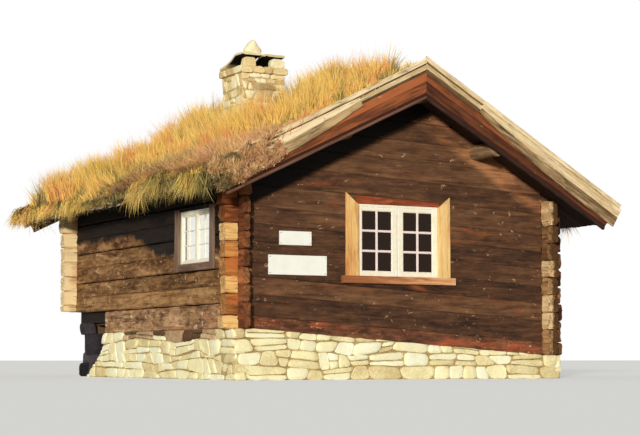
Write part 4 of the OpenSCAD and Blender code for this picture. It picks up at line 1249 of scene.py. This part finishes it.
# Chimney: a stack, its rim and a plain core round the flue
FLUE, STONES_Z, STONES_TOP, CORE_TOP = 0.15, 3.3, 4.29, 4.34
shape = Shape(CHIMNEY)
cx, cy, half_s = STACK
rim = half_s + 0.04
for axis, centre, other in (("x", cx, cy), ("y", cy, cx)):
    for sign in (-1, 1):
        seed = 30 + sign + (4 if axis == "x" else 0)
        place, rim_place = (face(axis, centre + sign * half, sign) for half in (half_s, rim))
        rubble(shape, place, oblong(other - half_s, other + half_s, STONES_Z, STONES_TOP), seed, (0.21, 0.13),
               0.014, 0.1, 0.012)
        rubble(shape, rim_place, oblong(other - rim, other + rim, RIM_Z, STACK_TOP), seed + 6, (0.3, 0.1),
               0.008, 0.2, 0.008)
        wide = half_s - INSET if axis == "x" else FLUE
        prism(shape, place, oblong(other - wide, other + wide, 0, CORE_TOP), 0.008, half_s - FLUE, LIME)
piece("chimney_stones", shape, "chimney_stone", "chimney_stack", sharp=50)


def rock(shape, outlines, seed, rough=0.012, tone=0.5, per=22):
    """Rough stone lofted through outlines, each a list of points in space, resampled and worn."""
    rings = np.array([spaced(outline, per, 0.5) for outline in outlines])
    soft = (np.roll(rings, 1, 1) + np.roll(rings, -1, 1) + 2 * rings) / 4
    rings = soft + np.stack([fbm(rings, 8, seed + i, 3) for i in range(3)], -1) * rough
    rings[..., 2] = np.maximum(rings[..., 2], 0)
    loft(shape, rings, tone=tone)


def on_edge(shape, points, y0, y1, seed, tone):
    """Stone of an x, z outline between y0 and y1, with worn faces."""
    points = [(cx + x, STACK_TOP + z) for x, z in points]
    mx, mz = np.mean(points, 0)
    outlines = []
    for y, scale in ((y0, 0.86), (y0 + 0.018, 0.97), (y0 * 0.7 + y1 * 0.3, 1.0), (y0 * 0.3 + y1 * 0.7, 1.0),
                     (y1 - 0.018, 0.97), (y1, 0.86)):
        outlines.append([(mx + (x - mx) * scale, cy + y, mz + (z - mz) * scale) for x, z in points])
    rock(shape, outlines, seed, 0.011, tone)


# Chimney cap: stones on edge, two thin slabs and a pointed stone
SLAB_T, SLAB_LIFT = 0.05, 0.004
TOP_X, TOP_Y = -0.15, -0.27
shape = Shape(CHIMNEY)
on_edge(shape, [(-0.31, -0.004), (-0.10, -0.004), (-0.125, CAP), (-0.285, CAP)], -0.32, -0.18, 61, 0.55)
on_edge(shape, [(0.14, -0.004), (0.34, -0.004), (0.355, 0.08), (0.30, CAP), (0.16, CAP), (0.125, 0.08)],
        -0.325, -0.185, 62, 0.9)
piece("cap_uprights", shape, "chimney_stone", "chimney_uprights", sharp=50)

shape = Shape(CAP_STONE)
for x0, x1, near, far, seed, tone in ((-0.385, -0.012, -0.38, 0.385, 63, 0.75),
                                      (0.0, 0.355, -0.365, 0.36, 64, 0.45)):
    outlines = []
    mid = (x0 + x1) / 2
    for y, z in ((near, CAP), (-0.27, CAP), (-0.18, CAP), (-0.02, 0.075), (0.14, 0.03), (0.31, 0.0),
                 (far, 0.0)):
        half, lift, t = (x1 - x0) / 2, SLAB_LIFT, SLAB_T
        if y in (near, far):
            half, lift, t = half * 0.88, 0.012, 0.034
        a, b, z = mid - half, mid + half, z + lift
        rim_xz = [(a, z + 0.012), (a + 0.02, z), (b - 0.02, z), (b, z + 0.012), (b - 0.006, z + t - 0.008),
                  (b - 0.03, z + t), (a + 0.03, z + t), (a + 0.006, z + t - 0.008)]
        outlines.append([(cx + x, cy + y, STACK_TOP + q) for x, q in rim_xz])
    rock(shape, outlines, seed, 0.009, tone, 30)
piece("cap_slabs", shape, "chimney_stone", "chimney_slabs", sharp=50)

shape = Shape(CHIMNEY)
outline = [(-0.13, 0), (0.135, 0), (0.12, 0.06), (0.055, 0.12), (0.005, 0.205), (-0.06, 0.15), (-0.115, 0.07)]
outlines = []
foot = STACK_TOP + CAP + SLAB_T + SLAB_LIFT
for y, scale in ((-0.075, 0.78), (-0.058, 0.94), (-0.02, 1.0), (0.03, 0.99), (0.06, 0.92), (0.076, 0.76)):
    outlines.append([(cx + TOP_X + x * scale, cy + TOP_Y + y, foot + z * scale) for x, z in outline])
rock(shape, outlines, 65, 0.012, 0.85)
piece("cap_top_stone", shape, "chimney_stone", "chimney_top_stone", sharp=50)

# Stones in the open rear corner, near black with painted shade
shape = Shape(SHADED_STONE)
for z0, z1, x0, x1, y0, y1, seed in ((0, 0.2, -2.29, -1.86, 2.5, 2.84, 66),
                                     (0, 0.33, -2.27, -1.88, 2.2, 2.51, 69),
                                     (0.19, 0.36, -2.25, -1.9, 2.5, 2.8, 70),
                                     (0.32, 0.632, -2.28, -1.9, 2.24, 2.62, 67),
                                     (0.35, 0.632, -2.2, -1.9, 2.61, 2.82, 71),
                                     (0.63, 0.79, -2.29, -2.175, 2.33, 2.79, 68)):
    mx, my = (x0 + x1) / 2, (y0 + y1) / 2
    outlines = []
    for z, scale in ((z0, 0.9), (z0 + 0.02, 0.98), ((z0 * 2 + z1) / 3, 1.0), ((z0 + z1 * 2) / 3, 1.0),
                     (z1 - 0.02, 0.97), (z1, 0.86)):
        hx, hy = (x1 - x0) / 2 * scale, (y1 - y0) / 2 * scale
        outlines.append([(mx - hx, my - hy * 0.5, z), (mx - hx * 0.7, my - hy, z), (mx + hx, my - hy, z),
                         (mx + hx, my + hy, z), (mx - hx * 0.8, my + hy, z), (mx - hx, my + hy * 0.6, z)])
    rock(shape, outlines, seed, 0.026, 0.2 + 0.13 * (seed - 66), 28)
piece("corner_stones", shape, "dark_stone", "corner_stone", sharp=50)

# Door step
STEP_X, STEP_CUT = (DOOR[0] + DOOR[1]) / 2, 0.05
shape = Shape(RUBBLE)
for z0, z1, r, run, seed in ((0, 0.24, 0.62, 0.5, 71), (0.24, 0.48, 0.5, 0.25, 72)):
    outlines = []
    for z, c in ((z0, 0.012), (z0 + 0.02, 0.0), (z0 + 0.12, 0.0), (z1 - 0.02, 0.004), (z1, 0.03)):
        x0, x1, y0, y1 = STEP_X - r + c, STEP_X + r - c, OUT_L - 0.03, OUT_L + run - c
        outlines.append([(x0, y0, z), (x1, y0, z), (x1, y1 - STEP_CUT, z), (x1 - STEP_CUT, y1, z),
                         (x0 + STEP_CUT, y1, z), (x0, y1 - STEP_CUT, z)])
    rock(shape, outlines, seed, 0.01, 0.5, 64)
piece("door_steps", shape, "rubble", "door_step", sharp=50)


# Windows, plates and door
def bar(shape, place, x0, x1, z0, z1, d0, d1, seed, **looks):
    """Straight board or bar with its grain along its longer side."""
    looks = {"cut": 0.003, "rough": 0.0012, "gap": 0.09, "ends": 0.0, **looks}
    if x1 - x0 >= z1 - z0:
        timber(shape, place, steps(x0, x1, 0.25), z0, z1, d0, d1, seed, **looks)
    else:
        timber(shape, lambda s, a, d: place(a, s, d), steps(z0, z1, 0.25), x0, x1, d0, d1, seed, **looks)


def frame_of(shape, place, x0, x1, z0, z1, stile, low, high, d0, d1, seed, cut):
    """Stiles and rails round an opening, with the rails between the stiles. low may be 0, for no low rail."""
    bar(shape, place, x0, x0 + stile, z0, z1, d0, d1, seed, cut=cut)
    bar(shape, place, x1 - stile, x1, z0, z1, d0, d1, seed + 1, cut=cut)
    a, b, d0, d1 = x0 + stile, x1 - stile, d0 + 0.001, d1 - 0.001
    if low:
        bar(shape, place, a, b, z0, z0 + low, d0, d1, seed + 2, cut=cut)
    bar(shape, place, a, b, z1 - high, z1, d0, d1, seed + 3, cut=cut)


# Front window: a thin frame, and two casements with bars and angle irons
EDGE, TOP_EDGE, MEETING = 0.015, 0.03, 0.01
x0, x1, z0, z1 = WIN
mid, half = (x0 + x1) / 2, (x1 - x0) / 2
shape = Shape(WHITE)
frame_of(shape, front, *WIN, EDGE, EDGE, TOP_EDGE, 0.008, 0.118, 201, 0.002)
piece("window_frame", shape, "white_paint", "front_window_frame")

CAS_W, STILE, RAIL, BAR_R, LIP = (x1 - x0 - 2 * EDGE - MEETING) / 2, 0.078, 0.05, 0.015, 0.006
IRON_L, IRON_W, IRON_IN = 0.07, 0.014, 0.004
shape, irons = Shape(WHITE), Shape(PLATE)
low, high = z0 + EDGE, z1 - TOP_EDGE
for side in (-1, 1):
    c = mid + side * (CAS_W / 2 + MEETING / 2)
    a, b = c - CAS_W / 2, c + CAS_W / 2
    frame_of(shape, front, a, b, low, high, STILE, RAIL, RAIL, 0.012, 0.052, 210 + 8 * side, 0.005)
    ga, gb, gl, gh = a + STILE, b - STILE, low + RAIL, high - RAIL
    frame_of(shape, front, ga, gb, gl, gh, LIP, LIP, LIP, 0.018, 0.03, 230 + 8 * side, 0.004)
    bar(shape, front, c - BAR_R, c + BAR_R, gl, gh, 0.014, 0.034, 240 + side, cut=0.005, look=MUNTIN)
    for k in (1, 2):
        z = gl + (gh - gl) * k / 3
        bar(shape, front, ga, gb, z - BAR_R, z + BAR_R, 0.015, 0.033, 250 + 2 * side + k, cut=0.005,
            look=MUNTIN)
    # Angle irons on the four corners of the casement
    for flat, edge in ((a + IRON_IN, a + IRON_IN), (b - IRON_IN - IRON_L, b - IRON_IN - IRON_W)):
        for z, foot in ((low + IRON_IN, 0.0), (high - 0.026, 0.02 - IRON_L)):
            bar(irons, front, flat, flat + IRON_L, z + 0.004, z + 0.018, 0.0095, 0.0125, 260, cut=0.001)
            lower = z + foot
            bar(irons, front, edge, edge + IRON_W, lower, lower + IRON_L, 0.0095, 0.0125, 261, cut=0.001)
piece("casements", shape, "white_paint", "front_casements")
piece("window_corner_irons", irons, "plate_white")

# Side boards with slanted tops, and the sill board
BOARD_LAP, SIDE_BOARD = 0.026, 0.185
shape = Shape(HONEY)
top_in, top_out = z1 - 0.015, z1 + 0.135
for side in (-1, 1):
    inner = mid + side * (half - BOARD_LAP)
    outer = inner + side * SIDE_BOARD

    def slanted(s, q, d):
        """Board whose upper end follows a slant."""
        share = (q - inner) / (outer - inner)
        z = z0 + (s - z0) * (top_in + (top_out - top_in) * share - z0) / (top_out - z0)
        return front(q, z, d)

    timber(shape, slanted, steps(z0, top_out, 0.09), *sorted((inner, outer)), -0.032, 0, 271 + side,
           rough=0.003, gap=0.05, ends=0.0, tone=0.5 + 0.15 * side)
piece("honey_boards", shape, "honey_board", "front_side_boards")

shape = Shape(SILL)
r = half + SIDE_BOARD - BOARD_LAP + 0.06
timber(shape, front, steps(mid - r, mid + r, 0.1), z0 - 0.095, z0, -0.062, 0, 275, cut=0.007, rough=0.004,
       tone=lambda s: 0.24 + 0.5 * (s - mid) / r)
piece("window_sill", shape, "sill_board", "front_sill_board")

# Glass and floor keep the shapes of the CAD
for node, look in (("front_window_glass", SHADE_PAINTED_GLASS), ("left_window_glass", SKY_PAINTED_GLASS),
                   ("floor_joists", FLOOR_WOOD), ("floor_boards", FLOOR_WOOD)):
    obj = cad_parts[node]
    obj.data.materials.clear()
    obj.data.materials.append(look)

# Left window: a frame with a post, and two sashes with thin bars
FRAME_W, POST_R, SASH_W, THIN_R, PANE_IN = 0.055, 0.0375, 0.02, 0.009, 0.07
x0, x1, z0, z1 = SIDE_WIN
m = (x0 + x1) / 2
shape = Shape(WHITE)
frame_of(shape, left, *SIDE_WIN, FRAME_W, FRAME_W, FRAME_W, 0.01, 0.11, 281, 0.004)
bar(shape, left, m - POST_R, m + POST_R, z0 + FRAME_W, z1 - FRAME_W, 0.012, 0.108, 285, cut=0.004)
for a, b in ((x0 + FRAME_W, m - POST_R), (m + POST_R, x1 - FRAME_W)):
    frame_of(shape, left, a, b, z0 + FRAME_W, z1 - FRAME_W, SASH_W, SASH_W, SASH_W, 0.02, 0.05, 286, 0.004)
    c = (a + b) / 2
    bar(shape, left, c - THIN_R, c + THIN_R, z0 + PANE_IN, z1 - PANE_IN, 0.024, 0.036, 290, cut=0.004)
    for k in (1, 2):
        z = z0 + PANE_IN + (z1 - z0 - 2 * PANE_IN) * k / 3
        bar(shape, left, a + 0.015, b - 0.015, z - THIN_R, z + THIN_R, 0.0245, 0.0355, 291, cut=0.004)
piece("side_window_frame", shape, "white_paint", "left_window_frame")

# Casing of the left window: it laps over the frame and reaches past it
LAP, PAST = 0.02, 0.11
shape = Shape(SHADED_CASING)
low, high = z0 - 0.075, z1 + 0.03
for a, b in ((x0 - PAST, x0 + LAP), (x1 - LAP, x1 + PAST)):
    bar(shape, left, a, b, low, high, -0.028, 0, 295, cut=0.004, tone=0.6)
bar(shape, left, x0 + LAP, x1 - LAP, low, z0 + LAP, -0.027, 0, 296, cut=0.004)
piece("side_window_casing", shape, "weathered_logs", "left_window_casing")


def knob(shape, x, y, z, heights, radii, seed):
    """Head of a screw or nail on a gable: stations out from y, and a radius at each."""
    rod(shape, [(x, y + h, z) for h in heights], radii, seed, 10, 0.0)


# Bare plates on the front, with a screw at each corner
SCREW_IN = 0.022
shape, screws = Shape(PLATE), Shape(IRON)
px, pz, plate_w, plate_h, small_w = -HALF_W + 0.41, 1.3, 0.818, 0.246, 0.45
small_x, small_z = px + (plate_w - small_w) * 0.41, pz + plate_h * 1.51
for a, w, b, h, seed in ((px, plate_w, pz, plate_h, 301), (small_x, small_w, small_z, 0.175, 302)):
    timber(shape, front, steps(a, a + w, 0.1), b, b + h, -0.012, 0, seed, cut=0.003, rough=0.0012, ends=0.0)
    for x in (a + SCREW_IN, a + w - SCREW_IN):
        for z in (b + SCREW_IN, b + h - SCREW_IN):
            knob(screws, x, -HALF_L, z, (-0.0115, -0.0135, -0.0142), [0.0065, 0.006, 0.003], 303)
piece("bare_plates", shape, "plate_white", "wall_plates")
piece("plate_screws", screws, "plate_white")

# Door in the back gable
JAMB, CLEAR, THRESHOLD, DOOR_LAP, DOOR_PAST = 0.055, 0.004, 0.05, 0.03, 0.1
x0, x1, z0, z1 = DOOR
foot = z0 + THRESHOLD
shape = Shape(DOOR_WOOD)
frame_of(shape, back, x0, x1, foot, z1, JAMB, 0, JAMB, 0, 0.19, 311, 0.003)
top = z1 + DOOR_PAST
for a, b in ((x0 - DOOR_PAST, x0 + DOOR_LAP), (x1 - DOOR_LAP, x1 + DOOR_PAST)):
    bar(shape, back, a, b, foot, top, -0.028, 0, 315, cut=0.005, rough=0.002)
bar(shape, back, x0 + DOOR_LAP, x1 - DOOR_LAP, z1 - DOOR_LAP, top, -0.028, 0, 316, cut=0.005, rough=0.002)
piece("door_case", shape, "door_wood", "door_frame")

shape, metal = Shape(DOOR_WOOD), Shape(IRON)
a0, a1 = x0 + JAMB + CLEAR, x1 - JAMB - CLEAR
PLANKS, PLANK_GAP = 4, 0.004
w = (a1 - a0) / PLANKS
for i in range(PLANKS):
    b = a0 + (i + 1) * w - (PLANK_GAP if i < PLANKS - 1 else 0)
    bar(shape, back, a0 + i * w, b, foot, z1 - JAMB - CLEAR, 0.03, 0.062, 320 + i, cut=0.004, rough=0.002,
        tone=0.3 + 0.15 * i)
for z in (z0 + 0.25, z1 - 0.42):
    bar(shape, back, a0 + 0.02, a1 - 0.02, z, z + 0.13, 0.062, 0.09, 330, cut=0.006)
    bar(metal, back, a0 + 0.002, a0 + 0.56, z + 0.045, z + 0.085, 0.024, 0.031, 331, cut=0.002)
    for i in range(5):
        x = a0 + 0.05 + i * 0.11
        knob(metal, x, HALF_L, z + 0.065, (-0.0255, -0.021, -0.019), [0.011, 0.009, 0.004], 332)
    pin = [(a0 - 0.001, HALF_L - 0.023, z + up) for up in (0.02, 0.11)]
    rod(metal, pin, 0.011, 333, 12, 0.0)
x = a1 - 0.07
handle = [(-0.031, 1.56), (-0.005, 1.565), (0.012, 1.585), (0.016, 1.63), (0.012, 1.675), (-0.005, 1.695),
          (-0.031, 1.70)]
rod(metal, [(x, HALF_L + out, z) for out, z in handle], 0.008, 334, 10, 0.0005)
bar(metal, back, x - 0.025, x + 0.025, 1.53, 1.73, 0.026, 0.031, 335, cut=0.002)
piece("door_planks", shape, "door_wood", "door_leaf")
piece("door_ironwork", metal, "door_wood")
shape = Shape(DOOR_WOOD)
timber(shape, back, steps(x0, x1, 0.1), z0, foot, -0.04, 0.19, 340, cut=0.008, rough=0.004, ends=0.0)
piece("door_sill", shape, "door_wood", "door_threshold")

# Floor: pale, and a little paler to the camera alone
REACH, GLOW = 400.0, 0.42
ground = bpy.data.meshes.new("stage_floor")
ground.from_pydata([(x, y, 0) for x, y in oblong(-REACH, REACH, -REACH, REACH)], [], [(0, 1, 2, 3)])
stage_floor = into_scene("stage_floor", ground)
n = Material("stage_floor", 1.0, 0.0)
n.done((200, 200, 196))
strength = n.add("LightPath", out="Is Camera Ray") * GLOW
glow = n.add("Emission", {"Color": (255, 255, 252), "Strength": strength})
joined = n.add("AddShader", {0: Value(n, n.shader.outputs[0]), 1: glow})
n.put(n.tree.nodes["Material Output"].inputs["Surface"], joined)
ground.materials.append(n.owner)

# World: white where it is seen, and soft light elsewhere
AMBIENT = 0.27
world = bpy.data.worlds.new("studio")
bpy.context.scene.world = world
n = Nodes(world)
by_camera, by_gloss, through = (n.add("LightPath", out=f"Is {ray} Ray")
                                for ray in ("Camera", "Glossy", "Transmission"))
seen = n.math("MAXIMUM", n.math("MAXIMUM", by_camera, by_gloss), through)
background = n.tree.nodes["Background"].inputs
n.put(background["Color"], (255, 255, 255))
n.put(background["Strength"], n.band(seen, 0.0, 1.0, AMBIENT, 1.0))

sun = bpy.data.lights.new("key", "SUN")
sun.energy = 0.95 * math.pi
sun.angle = math.radians(4)
sun.color = (1.0, 0.985, 0.95)
travel = unit(np.array([0.8, 1.0, -0.19]))
turn = math.atan2(travel[1], travel[0]) - math.pi / 2
into_scene("key", sun).rotation_euler = (math.acos(-travel[2]), 0, turn)
